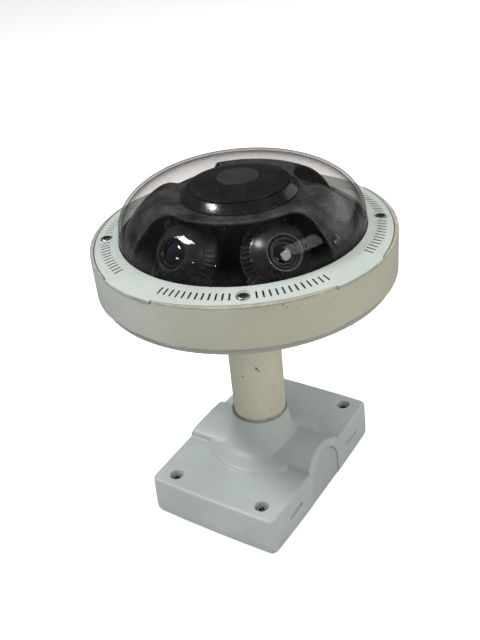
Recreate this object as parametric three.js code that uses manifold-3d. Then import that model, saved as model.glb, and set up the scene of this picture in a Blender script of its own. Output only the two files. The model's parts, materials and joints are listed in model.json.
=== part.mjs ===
// Multi-head dome camera on a pipe stand.
// Millimetres, +Z up the pipe, origin at the centre of the base's underside.
// Azimuths are degrees from +X towards +Y, seen from above.
import * as THREE from "three";
import { mergeVertices } from "three/addons/utils/BufferGeometryUtils.js";
import Module from "manifold-3d";

const wasm = await Module();
wasm.setup();
const { Manifold, Mesh } = wasm;

const GAP = 0.3; // clearance between neighbouring pieces

// ---- base box, with its pipe collar and conduit arches
const BASE = { halfX: 65.3, halfY: 94.6, bowX: 1.8, bowY: 1.2, corner: 6, height: 39, wall: 5 };
const ARCH = { radius: 25, centreZ: 20.5 };
const CROWN = { halfWidth: 26, edgeZ: 44.2, topZ: 50.6 };
// The ends of the crowned bridge lean in: how far inside the base's outline, at each height.
const BRIDGE_END = [[0.9, 30], [1.2, 40], [2.6, 45], [6.5, 50.6], [7, 60]];
const SCREW_X = 45.5;
const SCREW_Y = 79.5;
const SIDE_SLOT = { length: 21, height: 4, y: 55.5, z: 21, depth: 1.8 };
const COLLAR_TOP = 78;

// ---- pipe
const PIPE = { radius: 24.15, bore: 20.5, bottom: 8, top: 212 };

// ---- drum
const PLATE = { radius: 123.4, bottom: 217, top: 222.9 };
const SKIRT = { radius: 126.2, inner: 121.2, bottom: 224.2, tabTop: 257.2, rimTop: 260.5 };
const COVER_SCREWS = [-58, 32, 122, 212]; // azimuths of the four cover screws
const SECTOR = 32; // half angle of the rim on each side of a screw
const RING = { inner: 101.9, tabRadius: 126.4, bottom: 257.7, slope: 1 / 6, screwRadius: 113 };
const SLOTS = { perSide: 12, first: 4.9, pitch: 2.5, inner: 109.2, outer: 116.9, width: 1.0, depth: 2.0 };

const RING_CLEAR = 0.8; // degrees the ring stands off the skirt's rim at each end of a sector

// ---- dome, a superellipse of revolution
const DOME = { radius: 101.4, foot: 264.5, height: 47.7, wall: 2.2, powR: 2 / 2.46, powZ: 2 / 2.75 };

// ---- camera heads: place on the track, then where each one looks at rest
const TRACK_RADIUS = 67.7;
const BALL = { z: 265.1, radius: 29.4, inner: 26.9 };
const HEADS = [
  { az: -101.1, pan: -96.4, tilt: 35.7 },
  { az: -34.2, pan: -32.0, tilt: 34.9 },
  { az: 44.0, pan: 40.0, tilt: 30.0 },
  { az: 163.5, pan: 181.0, tilt: 26.0 },
];
const FLUTES = 16;

// Where the shroud is open round the heads: from, to and the inner radius of each window.
const SHROUD_OPENINGS = [
  [-120, -13, 64.5],
  [26, 70, 50.5],
  [138, 189, 50.5],
];

const COLOURS = {
  basePaint: 0xb9c4c0,
  ringPaint: 0xc9d3cc,
  drumPaint: 0xb7b29a,
  pipePaint: 0xb9b59c,
  zinc: 0x9a9d9f,
  steel: 0xb5b7b8,
  blackSatin: 0x1b1b1e,
  blackGloss: 0x101012,
  rubber: 0x18191a,
  clear: 0xdfe3e2,
  lensGlass: 0x1c1a2c,
  board: 0x1f4a35,
};

const rad = THREE.MathUtils.degToRad;
const part = new THREE.Group();
part.name = "dome_camera";

// ---------------------------------------------------------------- helpers

function indexed(geometry) {
  const copy = geometry.clone();
  copy.deleteAttribute("normal");
  copy.deleteAttribute("uv");
  return mergeVertices(copy, 1e-4);
}

function signedVolume(geometry) {
  const p = geometry.attributes.position;
  const index = geometry.index.array;
  const [a, b, c] = [new THREE.Vector3(), new THREE.Vector3(), new THREE.Vector3()];
  let sum = 0;
  for (let i = 0; i < index.length; i += 3) {
    a.fromBufferAttribute(p, index[i]);
    b.fromBufferAttribute(p, index[i + 1]);
    c.fromBufferAttribute(p, index[i + 2]);
    sum += a.dot(b.cross(c));
  }
  return sum;
}

function meshFrom(points, triangles) {
  const geometry = new THREE.BufferGeometry();
  geometry.setAttribute("position", new THREE.Float32BufferAttribute(points.flat(), 3));
  geometry.setIndex(triangles);
  if (signedVolume(geometry) < 0) {
    geometry.setIndex(triangles.map((_, i) => triangles[i - (i % 3) + 2 - (i % 3)]));
  }
  return geometry;
}

// Turns a profile of [radius, z] about Z. A profile that starts and ends on the
// axis is a solid, any other closes on itself. profile may depend on azimuth.
function spin(profile, azimuths) {
  const steps = Array.isArray(azimuths) ? azimuths : evenly(azimuths);
  const at = typeof profile === "function" ? profile : () => profile;
  const rows = at(steps[0]).length;
  const solid = at(steps[0])[0][0] === 0;
  const points = [];
  const id = [];
  for (let row = 0; row < rows; row++) {
    id.push([]);
    steps.forEach((azimuth, k) => {
      const [r, z] = at(azimuth)[row];
      if (r === 0 && k > 0) {
        id[row].push(id[row][0]);
        return;
      }
      id[row].push(points.length);
      points.push([r * Math.cos(rad(azimuth)), r * Math.sin(rad(azimuth)), z]);
    });
  }
  const triangles = [];
  const add = (a, b, c) => {
    if (a !== b && b !== c && a !== c) {
      triangles.push(a, b, c);
    }
  };
  for (let row = 0; row < (solid ? rows - 1 : rows); row++) {
    const low = id[row];
    const high = id[(row + 1) % rows];
    for (let k = 0; k < steps.length; k++) {
      const next = (k + 1) % steps.length;
      add(low[k], low[next], high[next]);
      add(low[k], high[next], high[k]);
    }
  }
  return meshFrom(points, triangles);
}

function evenly(count) {
  return Array.from({ length: count }, (_, k) => (360 * k) / count);
}

// Stacks outlines of equal point count, each given as [points, z], into a solid.
function stack(layers) {
  const count = layers[0][0].length;
  const points = layers.flatMap(([outline, z]) => outline.map(([x, y]) => [x, y, z]));
  const triangles = [];
  for (let level = 0; level + 1 < layers.length; level++) {
    for (let k = 0; k < count; k++) {
      const next = (k + 1) % count;
      const a = level * count;
      triangles.push(a + k, a + next, a + count + next, a + k, a + count + next, a + count + k);
    }
  }
  const top = (layers.length - 1) * count;
  for (let k = 1; k + 1 < count; k++) {
    triangles.push(0, k + 1, k, top, top + k, top + k + 1);
  }
  return meshFrom(points, triangles);
}

function prism(shape, depth, segments = 8) {
  return new THREE.ExtrudeGeometry(shape, { depth, bevelEnabled: false, curveSegments: segments });
}

function box(sizeX, sizeY, sizeZ, x, y, z) {
  return new THREE.BoxGeometry(sizeX, sizeY, sizeZ).translate(x, y, z);
}

function rod(radius, bottom, top, x = 0, y = 0, sides = 12) {
  return spin([[0, bottom], [radius, bottom], [radius, top], [0, top]], sides).translate(x, y, 0);
}

function solidOf(geometry) {
  const g = indexed(geometry);
  return new Manifold(new Mesh({
    numProp: 3,
    vertProperties: new Float32Array(g.attributes.position.array),
    triVerts: new Uint32Array(g.index.array),
  }));
}

function geometryOf(solid) {
  const mesh = solid.getMesh();
  const geometry = new THREE.BufferGeometry();
  geometry.setAttribute("position", new THREE.BufferAttribute(mesh.vertProperties.slice(), 3));
  geometry.setIndex(new THREE.BufferAttribute(mesh.triVerts.slice(), 1));
  return geometry;
}

function join(...pieces) {
  return geometryOf(pieces.map(solidOf).reduce((a, b) => a.add(b)));
}

function cut(body, ...tools) {
  return geometryOf(tools.map(solidOf).reduce((a, b) => a.subtract(b), solidOf(body)));
}

function common(a, b) {
  return geometryOf(solidOf(a).intersect(solidOf(b)));
}

function add(name, geometry, colour, look = {}) {
  const material = new THREE.MeshStandardMaterial({ color: COLOURS[colour], ...look });
  const mesh = new THREE.Mesh(geometry, material);
  mesh.name = name;
  part.add(mesh);
}

function polar(radius, azimuth, z = 0) {
  return [radius * Math.cos(rad(azimuth)), radius * Math.sin(rad(azimuth)), z];
}

// A cap screw standing on Z: round head with a six-sided recess, plain shank.
function screw(headRadius, headBottom, headTop, shankRadius, shankBottom) {
  const body = spin([
    [0, shankBottom], [shankRadius, shankBottom], [shankRadius, headBottom],
    [headRadius, headBottom], [headRadius, headTop - 0.5], [headRadius - 0.5, headTop], [0, headTop],
  ], 12);
  return cut(body, rod(headRadius * 0.45, headTop - 1.4, headTop + 1, 0, 0, 6));
}

// ------------------------------------------------------------------- base

// The base seen from above, drawn in by `inset`: bowed sides, round corners.
function baseOutline(inset) {
  const hx = BASE.halfX - inset;
  const hy = BASE.halfY - inset;
  const corner = Math.max(BASE.corner - inset, 1);
  const outline = [];
  const sideX = (y) => hx + BASE.bowX * (1 - (y / hy) ** 2);
  const sideY = (x) => hy + BASE.bowY * (1 - (x / hx) ** 2);
  const span = [-1, -0.4, 0.4, 1];
  const arc = [22, 68];
  const bend = (sx, sy, from) => arc.forEach((a) => {
    const t = rad(from + a);
    outline.push([sx * (hx - corner) + corner * Math.cos(t), sy * (hy - corner) + corner * Math.sin(t)]);
  });
  span.forEach((s) => outline.push([sideX(s * (hy - corner)), s * (hy - corner)]));
  bend(1, 1, 0);
  span.forEach((s) => outline.push([-s * (hx - corner), sideY(s * (hx - corner))]));
  bend(-1, 1, 90);
  span.forEach((s) => outline.push([-sideX(s * (hy - corner)), -s * (hy - corner)]));
  bend(-1, -1, 180);
  span.forEach((s) => outline.push([s * (hx - corner), -sideY(s * (hx - corner))]));
  bend(1, -1, 270);
  return outline;
}

// The crowned bridge that runs across the base from arch to arch.
function crossBridge() {
  const section = new THREE.Shape();
  const points = [-1, -0.66, -0.33, 0, 0.33, 0.66, 1].map((s) => [
    s * CROWN.halfWidth,
    CROWN.topZ - (CROWN.topZ - CROWN.edgeZ) * s * s,
  ]);
  section.moveTo(-CROWN.halfWidth - 1, BASE.height - 4);
  section.lineTo(-CROWN.halfWidth - 1, CROWN.edgeZ - 1.2);
  points.forEach(([y, z]) => section.lineTo(y, z));
  section.lineTo(CROWN.halfWidth + 1, CROWN.edgeZ - 1.2);
  section.lineTo(CROWN.halfWidth + 1, BASE.height - 4);
  const bar = prism(section, 140).translate(0, 0, -70);
  return layAlongX(bar);
}

// Takes a prism drawn in (y, z) and extruded along its third axis onto X.
function layAlongX(geometry) {
  const turn = new THREE.Matrix4().set(0, 0, 1, 0, 1, 0, 0, 0, 0, 1, 0, 0, 0, 0, 0, 1);
  return geometry.applyMatrix4(turn);
}

function archPrism(radius, bottom, low, high) {
  const shape = new THREE.Shape();
  shape.moveTo(-radius, bottom);
  shape.lineTo(radius, bottom);
  shape.lineTo(radius, ARCH.centreZ);
  shape.absarc(0, ARCH.centreZ, radius, 0, Math.PI, false);
  return layAlongX(prism(shape, high - low, 10).translate(0, 0, low));
}

function atFourScrews(make) {
  return [1, -1].flatMap((sx) => [1, -1].map((sy) => make(sx * SCREW_X, sy * SCREW_Y)));
}

// The outlines that limit the bridge's two ends, drawn in by `inset`.
function bridgeEnds(inset = 0) {
  return BRIDGE_END.map(([step, z]) => [baseOutline(step + inset), z]);
}

// The outside of the base box, or a copy of it drawn in by `inset` and run up to `top`.
function baseBlock(inset = 0, top = BASE.height) {
  const rounded = [[baseOutline(1.4 + inset), 37.8], [baseOutline(3 + inset), top]];
  const upper = top > BASE.height ? bridgeEnds(inset).slice(1) : rounded;
  return stack([
    [baseOutline(4 + inset), 0], [baseOutline(1.6 + inset), 1.4], [baseOutline(0.3 + inset), 4.5],
    [baseOutline(inset), 9], [baseOutline(0.8 + inset), 34], ...upper,
  ]);
}

function baseHousing() {
  const shell = baseBlock();
  const bridge = common(crossBridge(), stack(bridgeEnds()));
  const collar = spin([
    [0, 36], [51, 36], [51, 41.4], [50, 42.2], [40, 42.8], [33.5, 45.5], [29.4, 52],
    [26.8, 66], [26.5, COLLAR_TOP], [0, COLLAR_TOP],
  ], 32);
  const outside = join(shell, bridge, collar);
  const ceiling = BASE.height - BASE.wall;
  const room = stack([[baseOutline(BASE.wall + 0.6), -1], [baseOutline(BASE.wall + 0.6), ceiling]]);
  const bosses = atFourScrews((x, y) => rod(8.5, 3.3, ceiling + 1, x, y));
  const hollow = cut(room, ...bosses, rod(31, 22, ceiling + 1, 0, 0, 20));
  const tunnels = [archPrism(ARCH.radius + GAP, -1, 46, 72), archPrism(ARCH.radius + GAP, -1, -72, -46)];
  const recesses = atFourScrews((x, y) => rod(6, 30.5, 60, x, y));
  const holes = atFourScrews((x, y) => rod(3.4, -1, 40, x, y, 10));
  const slots = [1, -1].flatMap((sx) => [1, -1].map((sy) => box(
    2 * SIDE_SLOT.depth, SIDE_SLOT.length, SIDE_SLOT.height,
    sx * (BASE.halfX + 0.8), sy * SIDE_SLOT.y, SIDE_SLOT.z)));
  return cut(outside, hollow, rod(24.6, 10, 90, 0, 0, 28), ...tunnels, ...recesses, ...holes, ...slots);
}

function mountingPlate() {
  const outline = baseOutline(BASE.wall + 4.2);
  const blank = stack([[outline, 0], [outline, 3]]);
  const screwHoles = atFourScrews((x, y) => rod(3.4, -1, 4, x, y, 10));
  const wallSlots = [1, -1].flatMap((sx) => [1, -1].map((sy) => box(14, 6, 8, sx * 36, sy * 48, 1)));
  return cut(blank, rod(22, -1, 4, 0, 0, 20), ...screwHoles, ...wallSlots);
}

function conduitCover(side) {
  const plug = common(archPrism(ARCH.radius - GAP / 2, 0.3, 59, 70), baseBlock(0.5, 60));
  const flange = box(2.2, 57, 26, 59.8, 0, 17.5);
  const cover = join(plug, flange);
  return side > 0 ? cover : cover.applyMatrix4(new THREE.Matrix4().makeRotationZ(Math.PI));
}

function pipeNut() {
  const blank = rod(33, 12, 21.6, 0, 0, 6);
  return cut(blank, rod(PIPE.radius + 2 * GAP, 10, 24, 0, 0, 28));
}

add("base_housing", baseHousing(), "basePaint", { roughness: 0.5 });
add("mounting_plate", mountingPlate(), "zinc", { metalness: 0.8, roughness: 0.5 });
add("conduit_cover_right", conduitCover(1), "basePaint", { roughness: 0.5 });
add("conduit_cover_left", conduitCover(-1), "basePaint", { roughness: 0.5 });
atFourScrews((x, y) => [x, y]).forEach(([x, y], i) => {
  const baseScrew = screw(5.2, 30.8, 34.4, 2.9, 0.6).translate(x, y, 0);
  add(`base_screw_${i + 1}`, baseScrew, "steel", { metalness: 1, roughness: 0.35 });
});
add("pipe_nut", pipeNut(), "zinc", { metalness: 0.9, roughness: 0.4 });

// ------------------------------------------------------------------- pipe

add("pipe", spin([
  [PIPE.bore, PIPE.bottom], [PIPE.radius - 0.8, PIPE.bottom], [PIPE.radius, PIPE.bottom + 0.8],
  [PIPE.radius, PIPE.top - 0.8], [PIPE.radius - 0.8, PIPE.top], [PIPE.bore, PIPE.top],
], 28), "pipePaint", { roughness: 0.55 });

// ------------------------------------------------------------------- drum

add("pendant_plate", spin([
  [PIPE.radius + 2 * GAP, 199], [30.5, 199], [33.5, PLATE.bottom], [119, PLATE.bottom],
  [122, PLATE.bottom + 0.8], [PLATE.radius, PLATE.bottom + 2.6], [PLATE.radius, PLATE.top],
  [19.5, PLATE.top], [19.5, PIPE.top + 1.6], [PIPE.radius + 2 * GAP, PIPE.top + 1.6],
], 40), "zinc", { metalness: 0.4, roughness: 0.5 });

add("seam_gasket", spin([[115, 223.2], [122.4, 223.2], [122.4, 223.9], [115, 223.9]], 40),
  "rubber", { roughness: 0.9 });

// Azimuths for the skirt and ring: a pair of close steps at each sector's end, so
// the rim starts and stops on a sharp vertical line. The ring's are set further
// out by `clear`, which leaves a gap beside the skirt's rim.
function drumAzimuths(clear) {
  const end = SECTOR + clear;
  const offsets = [-45, -end - 0.25, -end + 0.25, -24, -16, -8, 0, 8, 16, 24, end - 0.25, end + 0.25];
  return COVER_SCREWS.flatMap((screwAz) => offsets.map((offset) => screwAz + offset));
}

function fromScrew(azimuth) {
  const offsets = COVER_SCREWS.map((s) => Math.abs(((azimuth - s + 540) % 360) - 180));
  return Math.min(...offsets);
}

const inSector = (azimuth, clear = 0) => fromScrew(azimuth) < SECTOR + clear;
const bend2 = (azimuth) => (fromScrew(azimuth) / SECTOR) ** 2;
const sectorEdge = (azimuth) => 122.2 + 2.3 * bend2(azimuth);
const ringTop = (radius) => 260.1 + (126 - radius) * RING.slope;

function skirtProfile(azimuth) {
  const wall = inSector(azimuth) ? SKIRT.radius + 0.5 * bend2(azimuth) : SKIRT.radius - 0.8;
  const foot = [[112, SKIRT.bottom], [wall - 1.4, SKIRT.bottom], [wall, SKIRT.bottom + 1.6]];
  const inside = [[SKIRT.inner, SKIRT.tabTop], [SKIRT.inner, 226.8], [112, 226.8]];
  if (!inSector(azimuth)) {
    const top = SKIRT.tabTop;
    const edge = [[wall, top - 0.3], [wall - 0.2, top], [wall - 0.3, top], [wall - 0.4, top]];
    return [...foot, ...edge, ...inside];
  }
  const rim = sectorEdge(azimuth) + 0.7;
  const top = SKIRT.rimTop;
  return [...foot, [wall, top - 0.8], [wall - 0.5, top], [rim, top], [rim, SKIRT.tabTop], ...inside];
}

function ringProfile(azimuth) {
  const edge = inSector(azimuth, RING_CLEAR) ? sectorEdge(azimuth) : RING.tabRadius;
  return [
    [edge, RING.bottom], [edge, ringTop(edge) - 0.5], [edge - 0.6, ringTop(edge)],
    [RING.inner + 0.7, ringTop(RING.inner)], [RING.inner, ringTop(RING.inner) - 0.7],
    [RING.inner, 260.6], [106.8, 260.3], [120.4, RING.bottom],
  ];
}

// A wedge-shaped cutter along X, its edge down: it leaves a narrow slot in the ring.
function groove(length) {
  const reach = 4; // how far the cutter stands above the slot's bottom
  const half = (SLOTS.width / 2) * (reach / SLOTS.depth);
  const corners = [[0, 0], [half, reach], [-half, reach]];
  const section = new THREE.Shape(corners.map(([x, y]) => new THREE.Vector2(x, y)));
  return layAlongX(prism(section, length).translate(0, 0, -length / 2));
}

function coverRing() {
  const tools = [];
  COVER_SCREWS.forEach((screwAz) => {
    const [x, y] = polar(RING.screwRadius, screwAz);
    tools.push(rod(5.3, 260.4, 270, x, y, 14), rod(2.7, 250, 270, x, y, 10));
    for (let k = 0; k < SLOTS.perSide; k++) {
      [1, -1].forEach((side) => {
        const azimuth = screwAz + side * (SLOTS.first + k * SLOTS.pitch);
        const length = SLOTS.outer - SLOTS.inner;
        const middle = (SLOTS.outer + SLOTS.inner) / 2;
        const slot = groove(length).translate(middle, 0, ringTop(middle) - SLOTS.depth);
        tools.push(slot.rotateZ(rad(azimuth)));
      });
    }
  });
  return cut(spin(ringProfile, drumAzimuths(RING_CLEAR)), ...tools);
}

add("drum_skirt", spin(skirtProfile, drumAzimuths(0)), "drumPaint", { roughness: 0.5 });
add("cover_ring", coverRing(), "ringPaint", { roughness: 0.45 });
COVER_SCREWS.forEach((screwAz, i) => {
  const [x, y] = polar(RING.screwRadius, screwAz);
  const coverScrew = screw(4.8, 260.6, 262.7, 2.2, 249).translate(x, y, 0);
  add(`cover_screw_${i + 1}`, coverScrew, "steel", { metalness: 1, roughness: 0.3 });
});

// A quarter of the dome's outline, from its foot to just short of the top.
function domeArc(radius, height, steps) {
  return Array.from({ length: steps }, (_, i) => {
    const t = (i / steps) ** 0.85 * (Math.PI / 2);
    return [radius * Math.cos(t) ** DOME.powR, DOME.foot + height * Math.sin(t) ** DOME.powZ];
  });
}

add("dome", spin([
  [0, DOME.foot + DOME.height - DOME.wall],
  ...domeArc(DOME.radius - DOME.wall, DOME.height - DOME.wall, 7).reverse(),
  [DOME.radius - DOME.wall, 258.2], [105.8, 258.2], [105.8, 259.9], [DOME.radius, 260],
  ...domeArc(DOME.radius, DOME.height, 7),
  [0, DOME.foot + DOME.height],
], 32), "clear", { roughness: 0.08, transparent: true, opacity: 0.35 });

add("dome_gasket", spin([[100.4, 255.9], [106, 255.9], [106, 257.9], [100.4, 257.9]], 32),
  "rubber", { roughness: 0.9 });

// ---------------------------------------------------------- inside the drum

function chassis() {
  const bowl = spin([
    [9.8, 224.2], [110.6, 224.2], [110.6, 227.1], [119.4, 227.1], [119.4, 229.4], [108.2, 229.4],
    [108.2, 250], [118, 252.4], [118, 255.6], [101.6, 255.6], [101.6, 253.4], [104.6, 251],
    [104.6, 226.8], [9.8, 226.8],
  ], 32);
  const holes = COVER_SCREWS.map((a) => {
    const [x, y] = polar(RING.screwRadius, a);
    return rod(2.7, 240, 260, x, y, 10);
  });
  return cut(bowl, ...holes);
}

add("chassis", chassis(), "zinc", { metalness: 0.6, roughness: 0.5 });

add("track_ring", spin([
  [53, 227.1], [82.4, 227.1], [82.4, 230.2], [80.6, 230.2], [80.6, 228.3], [54.8, 228.3],
  [54.8, 230.2], [53, 230.2],
], 32), "steel", { metalness: 1, roughness: 0.4 });

add("hub_post", spin([
  [30, 227.1], [33.5, 227.1], [33.5, 286], [37.4, 289], [37.4, 292.6], [30, 292.6],
], 24), "blackSatin", { roughness: 0.6 });

add("main_board", cut(rod(29.2, 246, 247.6, 0, 0, 24), rod(3, 240, 250, 18, 18, 8)),
  "board", { roughness: 0.6 });

add("network_jack", cut(box(13, 16, 14, -20.5, 0, 234.1), box(10.4, 12, 11, -20.5, 0, 237)),
  "steel", { metalness: 1, roughness: 0.4 });

add("cable_gland", spin([
  [5, 219], [9.4, 219], [9.4, 227.1], [13, 227.1], [13, 229.4], [8, 233.4], [5, 233.4],
], 16), "rubber", { roughness: 0.8 });

const IO_AZ = -67.5;
const IO_RADIUS = 95;
const onPanel = (geometry) => geometry.translate(IO_RADIUS, 0, 0).rotateZ(rad(IO_AZ));

add("io_board", onPanel(box(12, 34, 1.6, 0, 0, 227.9)), "board", { roughness: 0.6 });
add("memory_card_slot", onPanel(box(9, 14, 2.2, 0, 8, 230.1)),
  "steel", { metalness: 1, roughness: 0.4 });
add("control_button", onPanel(rod(2.2, 229.6, 233.4, 0, -9, 16)),
  "blackSatin", { roughness: 0.6 });

function shroud() {
  const shell = spin([
    [98.6, 255.8], [98.6, 261], [96.2, 268.6], [89.8, 277.8], [80.2, 287.4], [70, 294],
    [62, 296.9], [52, 294.2], [38, 294.2],
    [38, 293], [52.2, 293], [62, 295.5], [69.4, 292.8],
    [79.2, 286.4], [88.6, 277], [94.8, 268], [97.1, 260.7], [97.1, 255.8],
  ], 44);
  const windows = SHROUD_OPENINGS.map(([from, to, inner]) => wedge(from, to, inner, 112, 259, 300));
  return cut(shell, ...windows);
}

function wedge(from, to, inner, outer, low, high) {
  const shape = new THREE.Shape();
  shape.absarc(0, 0, outer, rad(from), rad(to), false);
  shape.absarc(0, 0, inner, rad(to), rad(from), true);
  return prism(shape, high - low, 6).translate(0, 0, low);
}

add("shroud", shroud(), "blackSatin", { roughness: 0.35 });

add("hub_cap", spin([
  [0, 303.8], [16, 303.8], [38, 299.4], [44, 294.5], [47.8, 294.5], [48.2, 295.4], [41.5, 301.5],
  [40.9, 301.5], [40.9, 300.8], [40.3, 300.8], [40.3, 302.2], [18, 306.8], [18, 306], [17.2, 306],
  [17.2, 307.2], [0, 307.5],
], 32), "blackGloss", { roughness: 0.15 });

const SENSOR_AZ = -8;
add("light_sensor", lightSensor(), "lensGlass", { roughness: 0.1 });

// A small round window standing on the shroud's right-hand panel.
function lightSensor() {
  const bead = spin([[0, 0.4], [4.2, 0.4], [4.2, 1.2], [2.6, 2.2], [0, 2.6]], 14);
  const [low, high] = [[96.2, 268.6], [89.8, 277.8]];
  const lean = Math.atan2(high[1] - low[1], low[0] - high[0]);
  bead.rotateY(lean);
  bead.translate((low[0] + high[0]) / 2, 0, (low[1] + high[1]) / 2);
  return bead.rotateZ(rad(SENSOR_AZ));
}

// ------------------------------------------------------------------ heads

// Puts a piece built along +Z about the ball's centre where its head looks.
function aim(geometry, head) {
  geometry.rotateY(rad(90 - head.tilt));
  geometry.rotateZ(rad(head.pan));
  return geometry.translate(...polar(TRACK_RADIUS, head.az, BALL.z));
}

function carriage() {
  const block = wedge(-15, 15, 55.3, 80.1, 228.6, 232.8);
  return cut(block, rod(5.4, 220, 240, TRACK_RADIUS, 0, 16));
}

// The cup the ball sits in, with a spring finger behind it, about the ball's centre.
function cup() {
  const [outer, inner] = [31.9, 30.3];
  const arc = (radius, degrees) => [radius * Math.sin(rad(degrees)), -radius * Math.cos(rad(degrees))];
  const bowl = spin([
    [0, -36.2], [5, -36.2], [5, -32], [13, -32], [13, -29.2],
    ...[40, 55].map((d) => arc(outer, d)), ...[55, 38, 20].map((d) => arc(inner, d)), [0, -inner],
  ], 18);
  const shell = cut(new THREE.SphereGeometry(outer, 18, 12), new THREE.SphereGeometry(inner, 18, 12));
  const finger = common(shell, box(30, 13, 38, -30, 0, -1));
  return join(bowl, finger);
}

function ballShell() {
  const arc = (radius, degrees) => [radius * Math.sin(rad(degrees)), -radius * Math.cos(rad(degrees))];
  return spin([
    [0, -BALL.radius], ...[20, 40, 60, 80.5].map((d) => arc(BALL.radius, d)),
    [BALL.radius - 0.5, -4.2], [BALL.inner + 0.2, -4.2],
    ...[65, 35].map((d) => arc(BALL.inner, d)), [0, -BALL.inner],
  ], 20);
}

// Fluted grip band running into the smooth domed front, open for the lens.
function bezel() {
  const steps = evenly(2 * FLUTES);
  return spin((azimuth) => {
    const dip = Math.round(azimuth / (180 / FLUTES)) % 2 ? 1.2 : 0;
    return [
      [28.4 - dip, -3.8], [24.2 - dip, 4.9], [23, 5.6], [20.2, 9.2], [14.2, 14.1], [12.5, 13.4],
      [12.5, 9], [20, 4.6], [25.6, -3.8],
    ];
  }, steps);
}

function lensBarrel() {
  return spin([
    [0, -12], [11.2, -12], [12, -2], [12, 12.7], [11, 13.2], [10.4, 11.4],
    [8.8, 10.6], [8.8, 8.9], [0, 8.9],
  ], 18);
}

function frontLens() {
  return spin([[0, 9.2], [8.4, 9.2], [8.4, 10], [5.6, 11.2], [0, 11.8]], 16);
}

HEADS.forEach((head, i) => {
  const n = i + 1;
  const [x, y] = polar(TRACK_RADIUS, head.az);
  const standingCup = cup().rotateZ(rad(head.pan)).translate(x, y, BALL.z);
  add(`carriage_${n}`, carriage().rotateZ(rad(head.az)), "blackSatin", { roughness: 0.6 });
  add(`head_cup_${n}`, standingCup, "blackSatin", { roughness: 0.6 });
  add(`ball_shell_${n}`, aim(ballShell(), head), "blackSatin", { roughness: 0.45 });
  add(`grip_bezel_${n}`, aim(bezel(), head), "blackSatin", { roughness: 0.35 });
  add(`lens_barrel_${n}`, aim(lensBarrel(), head), "blackGloss", { roughness: 0.3 });
  add(`lens_glass_${n}`, aim(frontLens(), head), "lensGlass", { roughness: 0.05 });
  add(`sensor_board_${n}`, aim(box(20, 20, 1.6, 0, 0, -13.2), head), "board", { roughness: 0.6 });
});

export default part;
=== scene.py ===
"""Fine shapes and finishes of a multi-head dome camera on its pipe stand.

Lengths are millimetres until a mesh is made, heights are above the base's underside, and
azimuths are degrees from +X towards +Y, seen from above.
"""
import json
import math
import random

import bmesh
import bpy
from mathutils import Matrix, Vector


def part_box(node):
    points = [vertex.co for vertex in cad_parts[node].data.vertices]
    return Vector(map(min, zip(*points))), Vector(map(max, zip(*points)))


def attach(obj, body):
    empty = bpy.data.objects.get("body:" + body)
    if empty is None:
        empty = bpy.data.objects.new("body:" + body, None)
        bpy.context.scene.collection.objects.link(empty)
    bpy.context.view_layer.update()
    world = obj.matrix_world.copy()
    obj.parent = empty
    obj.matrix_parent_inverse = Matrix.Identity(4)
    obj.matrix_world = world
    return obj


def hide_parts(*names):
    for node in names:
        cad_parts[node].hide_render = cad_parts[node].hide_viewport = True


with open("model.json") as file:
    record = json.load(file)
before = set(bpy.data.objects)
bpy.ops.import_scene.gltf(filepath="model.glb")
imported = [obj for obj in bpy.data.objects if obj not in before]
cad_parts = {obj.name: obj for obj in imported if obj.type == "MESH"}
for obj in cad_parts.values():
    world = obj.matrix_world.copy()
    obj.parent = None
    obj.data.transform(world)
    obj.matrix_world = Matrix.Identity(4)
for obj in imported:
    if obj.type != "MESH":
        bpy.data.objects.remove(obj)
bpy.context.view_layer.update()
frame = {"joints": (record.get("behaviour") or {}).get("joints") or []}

MM = 0.001
scene = bpy.context.scene


def top_of(node):
    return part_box(node)[1].z / MM


def foot_of(node):
    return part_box(node)[0].z / MM


def reach_of(node):
    """How far a round or four-square node reaches from the pipe's axis, along X."""
    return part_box(node)[1].x / MM


# ------------------------------------------------------------------ sizes

BOW_X = 1.8
BOW_Y = 1.2
BASE_HALF_X = reach_of("base_housing") - BOW_X
BASE_HALF_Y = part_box("base_housing")[1].y / MM - BOW_Y
BASE_CORNER = 6.0
BASE_HEIGHT = 39.0
BASE_WALL = 5.0
ARCH_RADIUS = 25.0
ARCH_CENTRE = 20.5
BRIDGE_HALF = 26.0
BRIDGE_EDGE = 44.2
BRIDGE_TOP = 50.6
# How far inside the base's outline the bridge's ends stand, at each height.
BRIDGE_ENDS = ((0.9, 20), (0.9, 30), (1.2, 40), (2.6, 45), (6.5, 50.6), (7.0, 60))
TOP_EDGE = 2.6
SCREW_X = 45.5
SCREW_Y = 79.5
COLLAR_TOP = top_of("base_housing")
SIDE_SLOT = (3.6, 21, 4)
SIDE_SLOT_Y = 55.5
SIDE_SLOT_Z = 21
FLANGE = (2.2, 57, 26)

PIPE_RADIUS = reach_of("pipe")
PIPE_BORE = 20.5
PIPE_TOP = top_of("pipe")

PLATE_RADIUS = reach_of("pendant_plate")
PLATE_TOP = top_of("pendant_plate")
SKIRT_RADIUS = 126.2
SKIRT_INNER = 121.2
SKIRT_BOTTOM = foot_of("drum_skirt")
SKIRT_TAB_TOP = 257.2
SKIRT_RIM_TOP = top_of("drum_skirt")

COVER_SCREWS = (-58.0, 32.0, 122.0, 212.0)
SECTOR = 32.0
RING_CLEAR = 0.8
RING_INNER = 101.9
RING_TAB = 126.4
RING_BOTTOM = foot_of("cover_ring")
RING_SCREW_RADIUS = 113.0
SLOTS_PER_SIDE = 12
SLOT_FIRST = 4.9
SLOT_PITCH = 2.5
SLOT_INNER = 109.2
SLOT_OUTER = 116.9

DOME_RADIUS = 101.4
DOME_FOOT = 264.5
DOME_HEIGHT = top_of("dome") - DOME_FOOT
DOME_WALL = 2.2
DOME_POW_R = 2 / 2.46
DOME_POW_Z = 2 / 2.75

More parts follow.
